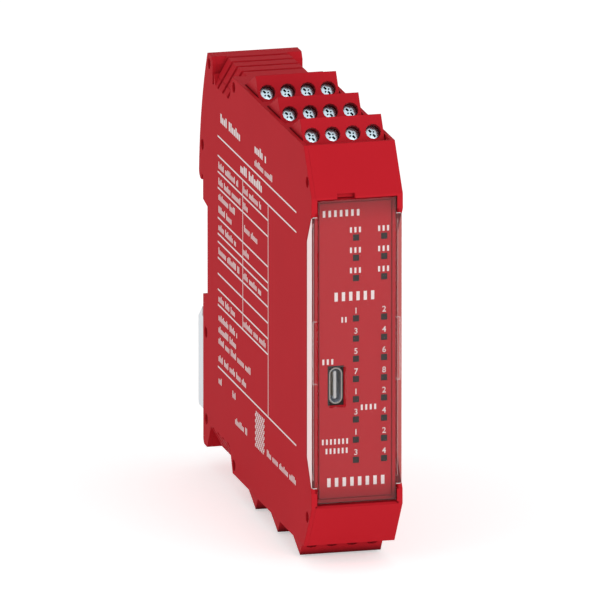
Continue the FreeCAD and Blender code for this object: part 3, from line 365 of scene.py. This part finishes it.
edge = add_node(tree, "ShaderNodeMixShader", {0: on_wing.outputs[0], 1: edge_painted_shade.outputs["BSDF"],
                                              2: edge_painted_highlight.outputs["BSDF"]})
edged = add_node(tree, "ShaderNodeMixShader", {0: glint.outputs["Result"], 1: faces.outputs["Shader"],
                                               2: edge.outputs["Shader"]})
tree.links.new(edged.outputs["Shader"], tree.nodes["Material Output"].inputs["Surface"])
print("clear cover", len(tree.nodes), "nodes")

# %% [markdown]
# ## Smoked polycarbonate
#
# The windows over the lights, and the collar round the port, are the same plastic with a dark dye. It is
# so dense that nothing shows through while the lights are off. Absorbing glass would be the long way to
# that, so it is a dark plastic with a slightly cloudy tone.

# %% Smoked polycarbonate
CLOUD_MM = 0.6
# Dark warm grey squares with a soft skin and hardly any shine
smoked_window, tree, shader = new_material("smoked_polycarbonate", {
    "Roughness": 0.35, "IOR": 1.58, "Specular IOR Level": 0.05})
place = add_node(tree, "ShaderNodeTexCoord").outputs["Object"]
cloud = add_node(tree, "ShaderNodeTexNoise", {"Vector": place, "Scale": 1 / (CLOUD_MM * MM), "Detail": 2.0})
smoke = add_node(tree, "ShaderNodeMixRGB", {"Fac": cloud.outputs["Fac"], "Color1": linear("#241C1C"),
                                            "Color2": linear("#2E2424")})
tree.links.new(smoke.outputs["Color"], shader.inputs["Base Color"])
print("smoked windows", smoked_window.name)

# %% [markdown]
# ## Metals
#
# The terminal screws and the cage clamps are steel with a thin zinc layer, which is passivated to a pale
# blue. The shell of the port is nickel on steel, the contacts are tinned brass, and the latch spring is
# blued spring steel. All are metallic shaders with the default IOR. A streaked noise stands for the marks
# of rolling and turning, and it changes the roughness, so that highlights break up.

# %% Plated metals
STREAK_STRETCH, ROUGHNESS_SPREAD = 6.0, 0.08


def plated_metal(name, color, shade, roughness, streak_mm):
    """A metal whose tone and roughness vary in streaks of the given length."""
    material, tree, shader = new_material(name, {"Metallic": 1.0})
    place = add_node(tree, "ShaderNodeTexCoord").outputs["Object"]
    drawn = add_node(tree, "ShaderNodeMapping", {"Vector": place,
                                                 "Scale": [1.0, STREAK_STRETCH, STREAK_STRETCH]})
    streaks = add_node(tree, "ShaderNodeTexNoise", {"Vector": drawn.outputs["Vector"],
                                                    "Scale": 1 / (streak_mm * MM), "Detail": 3.0})
    tone = add_node(tree, "ShaderNodeMixRGB", {"Fac": streaks.outputs["Fac"], "Color1": linear(color),
                                               "Color2": linear(shade)})
    rough = add_node(tree, "ShaderNodeMapRange", {"Value": streaks.outputs["Fac"],
                                                  "To Min": roughness - ROUGHNESS_SPREAD,
                                                  "To Max": roughness + ROUGHNESS_SPREAD})
    tree.links.new(tone.outputs["Color"], shader.inputs["Base Color"])
    tree.links.new(rough.outputs["Result"], shader.inputs["Roughness"])
    return material


# Screws and clamps: a pale icy blue that mirrors the sky, and the dark bore, in soft outlines
zinc = plated_metal("blue_passivated_zinc", "#D2E6F0", "#BFD7E3", roughness=0.28, streak_mm=1.5)
# Painted shade: the faces in the screws' recesses get a dark, dull zinc, so they read as black marks
zinc_painted_shade = plated_metal("recess_painted_shade", "#33393D", "#262B2F", roughness=0.6, streak_mm=0.8)
# Shell of the port: a warm mid grey line round the mouth
nickel = plated_metal("nickel_plated_steel", "#8F8B86", "#7D7975", roughness=0.4, streak_mm=2.0)
# Contacts of the rail bus and pins: a yellowish white, satin
tinned_brass = plated_metal("tinned_brass", "#C8C2B4", "#B4AC98", roughness=0.35, streak_mm=1.5)
# Latch spring: a dark bluish grey with a broad soft highlight along the bow
spring_steel = plated_metal("blued_spring_steel", "#6F7480", "#5C606B", roughness=0.4, streak_mm=2.0)
# Contacts of the port: a warm yellow, seen only when looking right into the mouth
contact_gold = plated_metal("gold_plated_bronze", "#D8B56A", "#C9A353", roughness=0.3, streak_mm=0.8)
print("metals", zinc.name, nickel.name, tinned_brass.name, spring_steel.name)

# %% [markdown]
# ## Mouth of the port
#
# The shell of the port is drawn from sheet. Its stamped mouth is dull, and the inside, which no tool has
# touched, stays bright. Two materials would need the mesh to be split. One material that changes with the
# depth behind the mouth does the same and leaves the construction alone.

# %% Mouth of the port
MOUTH_MM = 0.3
mouth_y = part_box("port_shell")[0][1]
tree = nickel.node_tree
place = add_node(tree, "ShaderNodeTexCoord").outputs["Object"]
depth = add_node(tree, "ShaderNodeSeparateXYZ", {"Vector": place})
inside = add_node(tree, "ShaderNodeMapRange", {"Value": depth.outputs["Y"], "From Min": mouth_y,
                                               "From Max": mouth_y + MOUTH_MM * MM})
shader = tree.nodes["Principled BSDF"]
stamped = shader.inputs["Base Color"].links[0].from_socket
bright = add_node(tree, "ShaderNodeMixRGB", {"Fac": inside.outputs["Result"], "Color1": stamped,
                                             "Color2": linear("#E8EEFA")})
tree.links.new(bright.outputs["Color"], shader.inputs["Base Color"])
print("mouth of the port at", round(mouth_y / MM, 2), "mm")

# %% [markdown]
# ## Small plastics, boards and ink
#
# The latch is natural grey polyamide. Headers and the bus socket are black polyamide, and the tongue of
# the port is a pale liquid crystal polymer. The boards are glass fibre under a green solder mask, and the
# lights behind the windows are small white chips. The print is white pad ink. All of them are satin skins
# with a faint mottle, so one function makes them, with a grain to match.

# %% Satin plastics
SATIN_EDGE_MM, SATIN_RELIEF_MM = 0.15, 0.02


def satin_plastic(name, color, shade, roughness, mottle_mm):
    """A plastic with a faint mottle of two tones and a grain to match."""
    material, tree, shader = new_material(name, {
        "Roughness": roughness, "Specular IOR Level": 0.3, "IOR": 1.53})
    place = add_node(tree, "ShaderNodeTexCoord").outputs["Object"]
    mottle = add_node(tree, "ShaderNodeTexNoise", {"Vector": place, "Scale": 1 / (mottle_mm * MM),
                                                   "Detail": 3.0})
    tone = add_node(tree, "ShaderNodeMixRGB", {"Fac": mottle.outputs["Fac"], "Color1": linear(color),
                                               "Color2": linear(shade)})
    rounded = add_node(tree, "ShaderNodeBevel", {"Radius": SATIN_EDGE_MM * MM}, samples=4)
    bump = add_node(tree, "ShaderNodeBump", {"Height": mottle.outputs["Fac"], "Strength": 0.15,
                                             "Distance": SATIN_RELIEF_MM * MM,
                                             "Normal": rounded.outputs["Normal"]})
    tree.links.new(tone.outputs["Color"], shader.inputs["Base Color"])
    tree.links.new(bump.outputs["Normal"], shader.inputs["Normal"])
    return material


# Latch: a cool off-white that stands out against the red
latch_grey = satin_plastic("natural_grey_polyamide", "#F6FCFF", "#EDF4F8", roughness=0.5, mottle_mm=0.4)
# Headers and bus socket: a soft black that lets the contacts shine
black_plastic = satin_plastic("black_polyamide", "#202021", "#1A1A1B", roughness=0.5, mottle_mm=0.4)
# Boards: a deep green with a slight gloss, mottled at about the width of the glass bundles
solder_mask = satin_plastic("green_solder_mask", "#1F5A3A", "#1A4E33", roughness=0.35, mottle_mm=1.2)
# Light chips: a creamy white, from the phosphor in their resin
light_chip = satin_plastic("white_light_chip", "#E9E4D2", "#DCD6C0", roughness=0.4, mottle_mm=0.5)
# Tongue of the port: a pale neutral bar in the dark mouth
tongue_grey = satin_plastic("pale_liquid_crystal_polymer", "#BDBDBB", "#B2B2B0", roughness=0.45,
                            mottle_mm=0.3)
# Pad ink: a dense white that dries slightly uneven, so it has a soft mottle
white_ink = satin_plastic("white_pad_ink", "#F4EFEE", "#E9E2E1", roughness=0.55, mottle_mm=0.5)
print("plastics", latch_grey.name, black_plastic.name, solder_mask.name, light_chip.name)

# %% [markdown]
# ## A finish for every piece of the construction
#
# The record of the part says which material slot each node takes, so the finishes are handed out by slot.
# That way a node can't be missed, and pieces that share a material share its finish.

# %% Hand out the finishes
FINISH_OF_SLOT = {
    "red_polyamide": housing_red, "plug_polyamide": plug_red, "red_panel": panel_red,
    "clear_polycarbonate": clear_cover, "smoked_polycarbonate": smoked_window, "light_chip": light_chip,
    "circuit_board": solder_mask, "nickel_plated_steel": nickel, "black_polyamide": black_plastic,
    "contact_brass": tinned_brass, "plated_steel": zinc, "spring_steel": spring_steel,
    "grey_polyamide": latch_grey,
}
counts = {}
for piece in frame["record"]["subparts"]:
    mesh = nodes[piece["node"]].data
    slot = piece["material_slot"]
    mesh.materials.clear()
    mesh.materials.append(FINISH_OF_SLOT[slot])
    counts[slot] = counts.get(slot, 0) + 1
nodes["port_tongue"].data.materials[0] = tongue_grey
print("finished", sum(counts.values()), "of", len(nodes), "nodes", counts)

# %% [markdown]
# ## Terminal screws
#
# A small screw with a cylinder head clamps each wire. Its head is cold-formed, so its rim is round. A slot
# in two halves and a smaller cross are struck into it, for either kind of driver, and their faces get a
# dark zinc as painted shade. A screw could be drawn as a stack of primitives, but it is round all along,
# so its profile is spun about its axis as on a lathe. A boolean then takes the arms out, and all 24 screws
# share the one mesh. Only the turn of each recess differs a little.

# %% Blank of a screw, and the punch for its recess
HEAD_RADIUS_MM, HEAD_HEIGHT_MM, THREAD_RADIUS_MM, THREAD_LENGTH_MM = 1.8, 1.3, 1.15, 3.6
THREAD_PITCH_MM, THREAD_DEPTH_MM, RIM_MM, RIM_BEND = 0.5, 0.22, 0.16, 0.3
SPIN_STEPS, WELD_MM = 32, 0.001
# Start and depth of the recess's arms, then length and width of those of the slot and of the cross
ARM_START_MM, ARM_DEPTH_MM = 0.32, 0.7
SLOT_ARM_MM, CROSS_ARM_MM = (0.85, 0.52), (0.45, 0.36)

profile = [(0, 0), (HEAD_RADIUS_MM - RIM_MM, 0), (HEAD_RADIUS_MM - RIM_BEND * RIM_MM, -RIM_BEND * RIM_MM),
           (HEAD_RADIUS_MM, -RIM_MM), (HEAD_RADIUS_MM, -HEAD_HEIGHT_MM)]
for turn in range(round(THREAD_LENGTH_MM / THREAD_PITCH_MM)):
    top = -HEAD_HEIGHT_MM - turn * THREAD_PITCH_MM
    profile += [(THREAD_RADIUS_MM - THREAD_DEPTH_MM, top), (THREAD_RADIUS_MM, top - THREAD_PITCH_MM / 2)]
profile += [(THREAD_RADIUS_MM - THREAD_DEPTH_MM, -HEAD_HEIGHT_MM - THREAD_LENGTH_MM),
            (0, -HEAD_HEIGHT_MM - THREAD_LENGTH_MM)]

blank = bmesh.new()
line = [blank.verts.new((radius * MM, 0, height * MM)) for radius, height in profile]
edges = [blank.edges.new(pair) for pair in zip(line, line[1:])]
bmesh.ops.spin(blank, geom=line + edges, axis=(0, 0, 1), cent=(0, 0, 0), steps=SPIN_STEPS,
               angle=2 * math.pi)
bmesh.ops.remove_doubles(blank, verts=blank.verts, dist=WELD_MM * MM)
bmesh.ops.recalc_face_normals(blank, faces=blank.faces)
arms = bmesh.new()
for quarter in range(4):
    length, width = SLOT_ARM_MM if quarter % 2 else CROSS_ARM_MM
    reach = Matrix.Translation(((ARM_START_MM + length / 2) * MM, 0, 0))
    stretch = Matrix.Diagonal((length * MM, width * MM, 2 * ARM_DEPTH_MM * MM, 1))
    bmesh.ops.create_cube(arms, matrix=Matrix.Rotation(quarter * math.pi / 2, 4, "Z") @ reach @ stretch)
print("blank faces", len(blank.faces), "punch faces", len(arms.faces))


# %% One turned screw
def mesh_piece(name, shape, *materials):
    """Turn a drawn shape into an object of the scene, with its materials."""
    mesh = bpy.data.meshes.new(name)
    shape.to_mesh(mesh)
    shape.free()
    for material in materials:
        mesh.materials.append(material)
    made = bpy.data.objects.new(name, mesh)
    bpy.context.collection.objects.link(made)
    return made


SHARP_ANGLE = math.radians(35)
RECESS_REACH_MM, RECESS_SKIN_MM = 1.4, 0.01
blank_piece, arms_piece = mesh_piece("screw_blank", blank), mesh_piece("recess_arms", arms)
strike = blank_piece.modifiers.new("strike", "BOOLEAN")
strike.object = arms_piece
struck = blank_piece.evaluated_get(bpy.context.evaluated_depsgraph_get())
screw_mesh = bpy.data.meshes.new_from_object(struck)
for tool in (blank_piece, arms_piece):
    bpy.data.objects.remove(tool)
screw_mesh.shade_smooth()
screw_mesh.set_sharp_from_angle(angle=SHARP_ANGLE)
screw_mesh.materials.append(zinc)
screw_mesh.materials.append(zinc_painted_shade)
# Faces inside the recess take the second material, a painted shade
for face in screw_mesh.polygons:
    below_skin = -HEAD_HEIGHT_MM * MM < face.center.z < -RECESS_SKIN_MM * MM
    face.material_index = int(below_skin and face.center.xy.length < RECESS_REACH_MM * MM)
print("screw mesh faces", len(screw_mesh.polygons))

# %% Set the screws
RECESS_TURN, TURN_SPREAD = math.radians(43), 0.12
rng = random.Random(7)
screws = []
for joint in frame["record"]["behaviour"]["joints"]:
    if not joint["child"].startswith("screw_"):
        continue
    node_name = "terminal_" + joint["child"]
    outward = -Vector(joint["axis"])
    foot = Vector(joint["pos_m"])
    head = max((point.co - foot).dot(outward) for point in nodes[node_name].data.vertices)
    screw = bpy.data.objects.new(joint["child"] + "_turned", screw_mesh)
    screw.matrix_world = (Matrix.Translation(foot + head * outward)
                          @ outward.to_track_quat("Z", "Y").to_matrix().to_4x4()
                          @ Matrix.Rotation(RECESS_TURN + rng.uniform(-TURN_SPREAD, TURN_SPREAD), 4, "Z"))
    bpy.context.collection.objects.link(screw)
    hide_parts(node_name)
    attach(screw, joint["child"])
    screws.append(screw)
print("screws", len(screws), "heads sunk", round(-head / MM, 2), "mm")

# %% [markdown]
# ## Spring of the latch
#
# A strip of spring steel, bowed like a low bridge, pushes the latch up against the rail. It flattens when
# the latch slides down, so a rigid piece would cut into the latch there. It could be a curve with a bevel.
# A bent strip is only two arcs about one centre, so its points are worked out along both of them.

# %% Bowed spring
SPRING_SHEET_MM, SPRING_STEPS, FLATTENED = 0.4, 40, 0.28
low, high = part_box("latch_spring")
rise, half_span = high[2] - low[2], (high[0] - low[0]) / 2
bow_radius = (half_span ** 2 + rise ** 2) / (2 * rise)
middle_x, middle_z = (low[0] + high[0]) / 2, high[2] - bow_radius
bow = bmesh.new()
strip = []
for step in range(SPRING_STEPS + 1):
    section = []
    for radius in (bow_radius, bow_radius - SPRING_SHEET_MM * MM):
        angle = math.acos((low[2] - middle_z) / radius) * (2 * step / SPRING_STEPS - 1)
        x, z = middle_x + radius * math.sin(angle), middle_z + radius * math.cos(angle)
        section += [bow.verts.new((x, y, z)) for y in (low[1], high[1])]
    strip.append([section[corner] for corner in (0, 1, 3, 2)])
for here, there in zip(strip, strip[1:]):
    for corner in range(4):
        after = (corner + 1) % 4
        bow.faces.new((here[corner], here[after], there[after], there[corner]))
bow.faces.new(strip[0])
bow.faces.new(strip[-1])
bmesh.ops.recalc_face_normals(bow, faces=bow.faces)
spring = mesh_piece("bowed_spring", bow, spring_steel)
spring.data.shade_smooth()
spring.data.set_sharp_from_angle(angle=SHARP_ANGLE)
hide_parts("latch_spring")
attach(spring, "housing")
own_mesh(spring)
print("spring", round(rise / MM, 2), "mm high,", round(FLATTENED * rise / MM, 2), "mm when the latch is down")

# %% [markdown]
# ## White print
#
# The side carries a table and the panel carries marks beside the lights, both printed in one pass with
# white pad ink. Print could be painted into a material, but then its edges would depend on the texture's
# resolution. Ink is a layer of its own, a few hundredths of a millimetre thick, so it is built as thin
# raised patches on the plastic. The lights keep their plain numbers. Words stay generic: each is a run of
# small blocks, one for a letter, so that the layout of the label reads and no text does.

# %% Layers of patches
LAYER_MM = 0.02


def add_layer(name, patches, corner, right, up, material):
    """Raise flat patches on a plane: a patch is a list of (x, y) points in millimetres."""
    out = right.cross(up)
    raised = bmesh.new()
    for patch in patches:
        low = [raised.verts.new(corner + (right * x + up * y) * MM) for x, y in patch]
        high = [raised.verts.new(point.co + out * LAYER_MM * MM) for point in low]
        raised.faces.new(high)
        for here in range(len(patch)):
            there = (here + 1) % len(patch)
            raised.faces.new((low[here], low[there], high[there], high[here]))
    layer = mesh_piece(name, raised, material)
    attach(layer, "housing")
    print(name, len(patches), "patches")
    return layer


def bar(left, low, right, high):
    """One rectangular patch."""
    return [(left, low), (right, low), (right, high), (left, high)]


print("layers are", LAYER_MM, "mm thick")

# %% Words as blocks
# Least and most letters of a word, and the heights that a letter can take as a share of a tall one
WORD_LETTERS = (4, 9)
LETTER_HEIGHTS = (0.7, 0.7, 1.0)


def word_row(left, right, middle, height, pitch, fill):
    """Blocks for the letters of a row of words: most stand as high as small letters, some are taller."""
    blocks = []
    place = left
    until_gap = rng.randint(*WORD_LETTERS)
    while place + pitch <= right:
        until_gap -= 1
        if until_gap < 0:
            until_gap = rng.randint(*WORD_LETTERS)
        else:
            tall = rng.choice(LETTER_HEIGHTS)
            blocks.append(bar(place, middle - height / 2, place + fill * pitch,
                              middle + height * (tall - 0.5)))
        place += pitch
    return blocks


print("words have", WORD_LETTERS[0], "to", WORD_LETTERS[1], "letters")

# %% Table on the side
# Places are millimetres from the rail plane towards the front, and heights above the middle of the rail
HALF_LINE_MM = 0.2
LETTER_MM, LETTER_PITCH_MM = 1.7, 1.1
HEADING_MM, HEADING_PITCH_MM = 1.35 * LETTER_MM, 1.5 * LETTER_PITCH_MM
# Share of the pitch that a letter's block takes up
TEXT_FILL, HEADING_FILL = 0.55, 0.7
TABLE_LEFT, TABLE_MIDDLE, TABLE_RIGHT, RULE_RIGHT = 14.8, 39.6, 64.6, 92.1
RULES = (31.3, 26.4, -26.4)
TABLE_ROWS = (22.4, 18.4, 10.9, 6.9, 4.9, 0.9, -3.1, -7.0, -10.9)
# Left end, right end and middle height of each row of words
TEXT_LEFT, VALUE_LEFT = 15.6, 40.4
TEXT_ROWS = ((TEXT_LEFT, 36.1, 24.2), (VALUE_LEFT, 58.6, 24.2), (TEXT_LEFT, 37.7, 20.2),
             (VALUE_LEFT, 45.1, 20.2), (TEXT_LEFT, 33.0, 16.4), (TEXT_LEFT, 29.4, 13.2), (41.1, 56.4, 14.7),
             (TEXT_LEFT, 34.3, 8.8), (VALUE_LEFT, 46.4, 8.8), (TEXT_LEFT, 37.3, 2.8), (VALUE_LEFT, 58.6, 2.8),
             (TEXT_LEFT, 32.5, -9.1), (VALUE_LEFT, 63.4, -9.1), (TEXT_LEFT, 34.6, -13.8),
             (TEXT_LEFT, 35.0, -16.8), (TEXT_LEFT, 48.0, -19.6), (TEXT_LEFT, 43.2, -24.0),
             (TEXT_LEFT, 19.3, -29.6), (29.4, 33.2, -29.6), (32.1, 45.1, -35.6), (63.4, 92.0, -35.6),
             (51.4, 69.3, 33.7))
HEADING_ROWS = ((17.6, 38.8, 36.4), (51.4, 63.6, 37.2), (37.4, 62.0, 28.9))
FIELD_LEFT, FIELD_LOW, FIELD_CELLS, FIELD_CELL_MM = 51.8, -36.9, 12, 0.75

patches = [bar(TABLE_LEFT, z - HALF_LINE_MM, RULE_RIGHT, z + HALF_LINE_MM) for z in RULES]
patches += [bar(TABLE_LEFT, z - HALF_LINE_MM, TABLE_RIGHT, z + HALF_LINE_MM) for z in TABLE_ROWS]
patches.append(bar(TABLE_MIDDLE - HALF_LINE_MM, TABLE_ROWS[-1], TABLE_MIDDLE + HALF_LINE_MM, RULES[1]))
patches.append(bar(TABLE_RIGHT - HALF_LINE_MM, RULES[2], TABLE_RIGHT + HALF_LINE_MM, RULES[1]))
for left, right, middle in TEXT_ROWS:
    patches += word_row(left, right, middle, LETTER_MM, LETTER_PITCH_MM, TEXT_FILL)
for left, right, middle in HEADING_ROWS:
    patches += word_row(left, right, middle, HEADING_MM, HEADING_PITCH_MM, HEADING_FILL)
for row in range(FIELD_CELLS):
    for column in range(row % 2, FIELD_CELLS, 2):
        x = FIELD_LEFT + column * FIELD_CELL_MM
        y = FIELD_LOW + row * FIELD_CELL_MM
        patches.append(bar(x, y, x + FIELD_CELL_MM, y + FIELD_CELL_MM))
side_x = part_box("side_cover")[0][0]
add_layer("side_table_print", patches, Vector((side_x, 0, 0)), Vector((0, -1, 0)), Vector((0, 0, 1)),
          white_ink)

# %% Names on the panel
# X and Z in millimetres. The lights stand in two columns, three rows above a gap and eight rows below it.
LIGHT_COLUMNS_MM = (0.2, 7.15)
LIGHT_PITCH_MM, FIRST_ROW_MM, NUMBERED_ROW_MM, MARK_RISE_MM = 5.0, 27.6, 7.65, 1.25
NAME_MM, NAME_FILL = 1.35, 0.45
LIGHT_NAME_BACK_MM, LIGHT_NAME_LETTERS, LIGHT_NAME_PITCH_MM = 1.5, 3, 1.1
# Left end, lower edge, height, letters and pitch of each name
NAMES = [(-8.1, -3.4, NAME_MM, 3, 1.1), (-3.4, 6.8, NAME_MM, 2, 0.9), (1.4, -15.1, NAME_MM, 4, 1.1),
         (-8.2, -23.2, NAME_MM, 7, 1.0), (-7.3, -25.5, NAME_MM, 6, 1.0), (-8.0, 33.0, 1.6, 7, 1.4),
         (-5.1, 12.1, 2.2, 6, 1.8), (-6.9, -33.7, 2.2, 8, 1.9)]
for row in range(3):
    NAMES += [(column - LIGHT_NAME_BACK_MM, FIRST_ROW_MM - row * LIGHT_PITCH_MM + MARK_RISE_MM, NAME_MM,
               LIGHT_NAME_LETTERS, LIGHT_NAME_PITCH_MM) for column in LIGHT_COLUMNS_MM]
patches = [bar(left + letter * pitch, low, left + (letter + NAME_FILL) * pitch, low + height)
           for left, low, height, letters, pitch in NAMES for letter in range(letters)]
print("names on the panel", len(NAMES))

# %% Numbers on the panel
NUMBER_SIZE_MM, NUMBER_WEIGHT_MM = 2.0, 0.02
ROW_NUMBERS = (1, 3, 5, 7, 1, 3, 1, 3)
number_curve = bpy.data.curves.new("number", "FONT")
number_curve.size = NUMBER_SIZE_MM
number_curve.align_x = "CENTER"
number_curve.offset = NUMBER_WEIGHT_MM
number = bpy.data.objects.new("number", number_curve)
bpy.context.collection.objects.link(number)
for row, first in enumerate(ROW_NUMBERS):
    for column, value in zip(LIGHT_COLUMNS_MM, (first, first + 1)):
        number_curve.body = str(value)
        drawn = number.evaluated_get(bpy.context.evaluated_depsgraph_get()).to_mesh()
        low = NUMBERED_ROW_MM - row * LIGHT_PITCH_MM + MARK_RISE_MM
        points = [(column + point.co.x, low + point.co.y) for point in drawn.vertices]
        patches += [[points[corner] for corner in face.vertices] for face in drawn.polygons]
bpy.data.objects.remove(number)
panel_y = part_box("front_panel")[0][1]
add_layer("panel_print", patches, Vector((0, panel_y, 0)), Vector((1, 0, 0)), Vector((0, 0, 1)), white_ink)

# %% [markdown]
# ## Collar of the port
#
# The slot in the panel is a plain rectangle, and the port that stands in it is rounded. A thin collar of
# smoked plastic fills the corners between them, so that no light leaks from the lights behind. It could be
# cut from a plate with a boolean. Here its outline and its hole are drawn with the same number of points,
# so that two rings of faces and two walls close it.

# %% Port collar
SLOT_WIDTH_MM, SLOT_LENGTH_MM = 4.0, 9.8
COLLAR_PLAY_MM, COLLAR_SINK_MM, COLLAR_SHEET_MM, COLLAR_STEPS = 0.03, 0.15, 0.5, 12
low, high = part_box("port_shell")
center_x, center_z = (low[0] + high[0]) / 2, (low[2] + high[2]) / 2
hole_radius = (high[0] - low[0]) / 2 + COLLAR_PLAY_MM * MM
straight = (high[2] - low[2] - (high[0] - low[0])) / 2
half_width = (SLOT_WIDTH_MM / 2 - COLLAR_PLAY_MM) * MM
half_length = (SLOT_LENGTH_MM / 2 - COLLAR_PLAY_MM) * MM
outline, hole = [], []
for end in (1, -1):
    for step in range(COLLAR_STEPS + 1):
        angle = math.pi * step / COLLAR_STEPS
        x, z = end * math.cos(angle), end * math.sin(angle)
        hole.append((hole_radius * x, end * straight + hole_radius * z))
        reach = 1 / max(abs(x), abs(z))
        outline.append((half_width * x * reach, end * (half_length - half_width) + half_width * z * reach))
front_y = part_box("front_panel")[0][1] + COLLAR_SINK_MM * MM
collar = bmesh.new()
rings = [[collar.verts.new((center_x + x, y, center_z + z)) for x, z in loop]
         for loop in (outline, hole) for y in (front_y, front_y + COLLAR_SHEET_MM * MM)]
for first, second in ((0, 2), (2, 3), (3, 1), (1, 0)):
    for here in range(len(outline)):
        there = (here + 1) % len(outline)
        collar.faces.new((rings[first][here], rings[first][there], rings[second][there], rings[second][here]))
bmesh.ops.recalc_face_normals(collar, faces=collar.faces)
port_collar = mesh_piece("port_collar", collar, smoked_window)
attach(port_collar, "housing")
print("collar faces", len(port_collar.data.polygons))

# %% [markdown]
# ## Contacts of the port
#
# The tongue of the port has twelve contacts on each face, flush strips of gold-plated bronze. They could be
# let into the tongue with a boolean, but they are too small for that to show. So they are laid on it, as
# the ink is laid on the panel.

# %% Port contacts
CONTACTS, CONTACT_PITCH_MM, HALF_CONTACT_MM = 12, 0.5, 0.13
CONTACT_NEAR_MM, CONTACT_FAR_MM, BLADE_MM = 0.5, 3.9, 0.7
low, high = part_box("port_tongue")
center_x, center_z = (low[0] + high[0]) / 2, (low[2] + high[2]) / 2
strips = []
for order in range(CONTACTS):
    middle = (order - (CONTACTS - 1) / 2) * CONTACT_PITCH_MM
    strips.append(bar(CONTACT_NEAR_MM, middle - HALF_CONTACT_MM, CONTACT_FAR_MM, middle + HALF_CONTACT_MM))
for name, side in (("port_contacts_left", -1), ("port_contacts_right", 1)):
    corner = Vector((center_x + side * BLADE_MM / 2 * MM, low[1], center_z))
    layer = add_layer(name, strips, corner, Vector((0, 1, 0)), Vector((0, 0, side)), contact_gold)
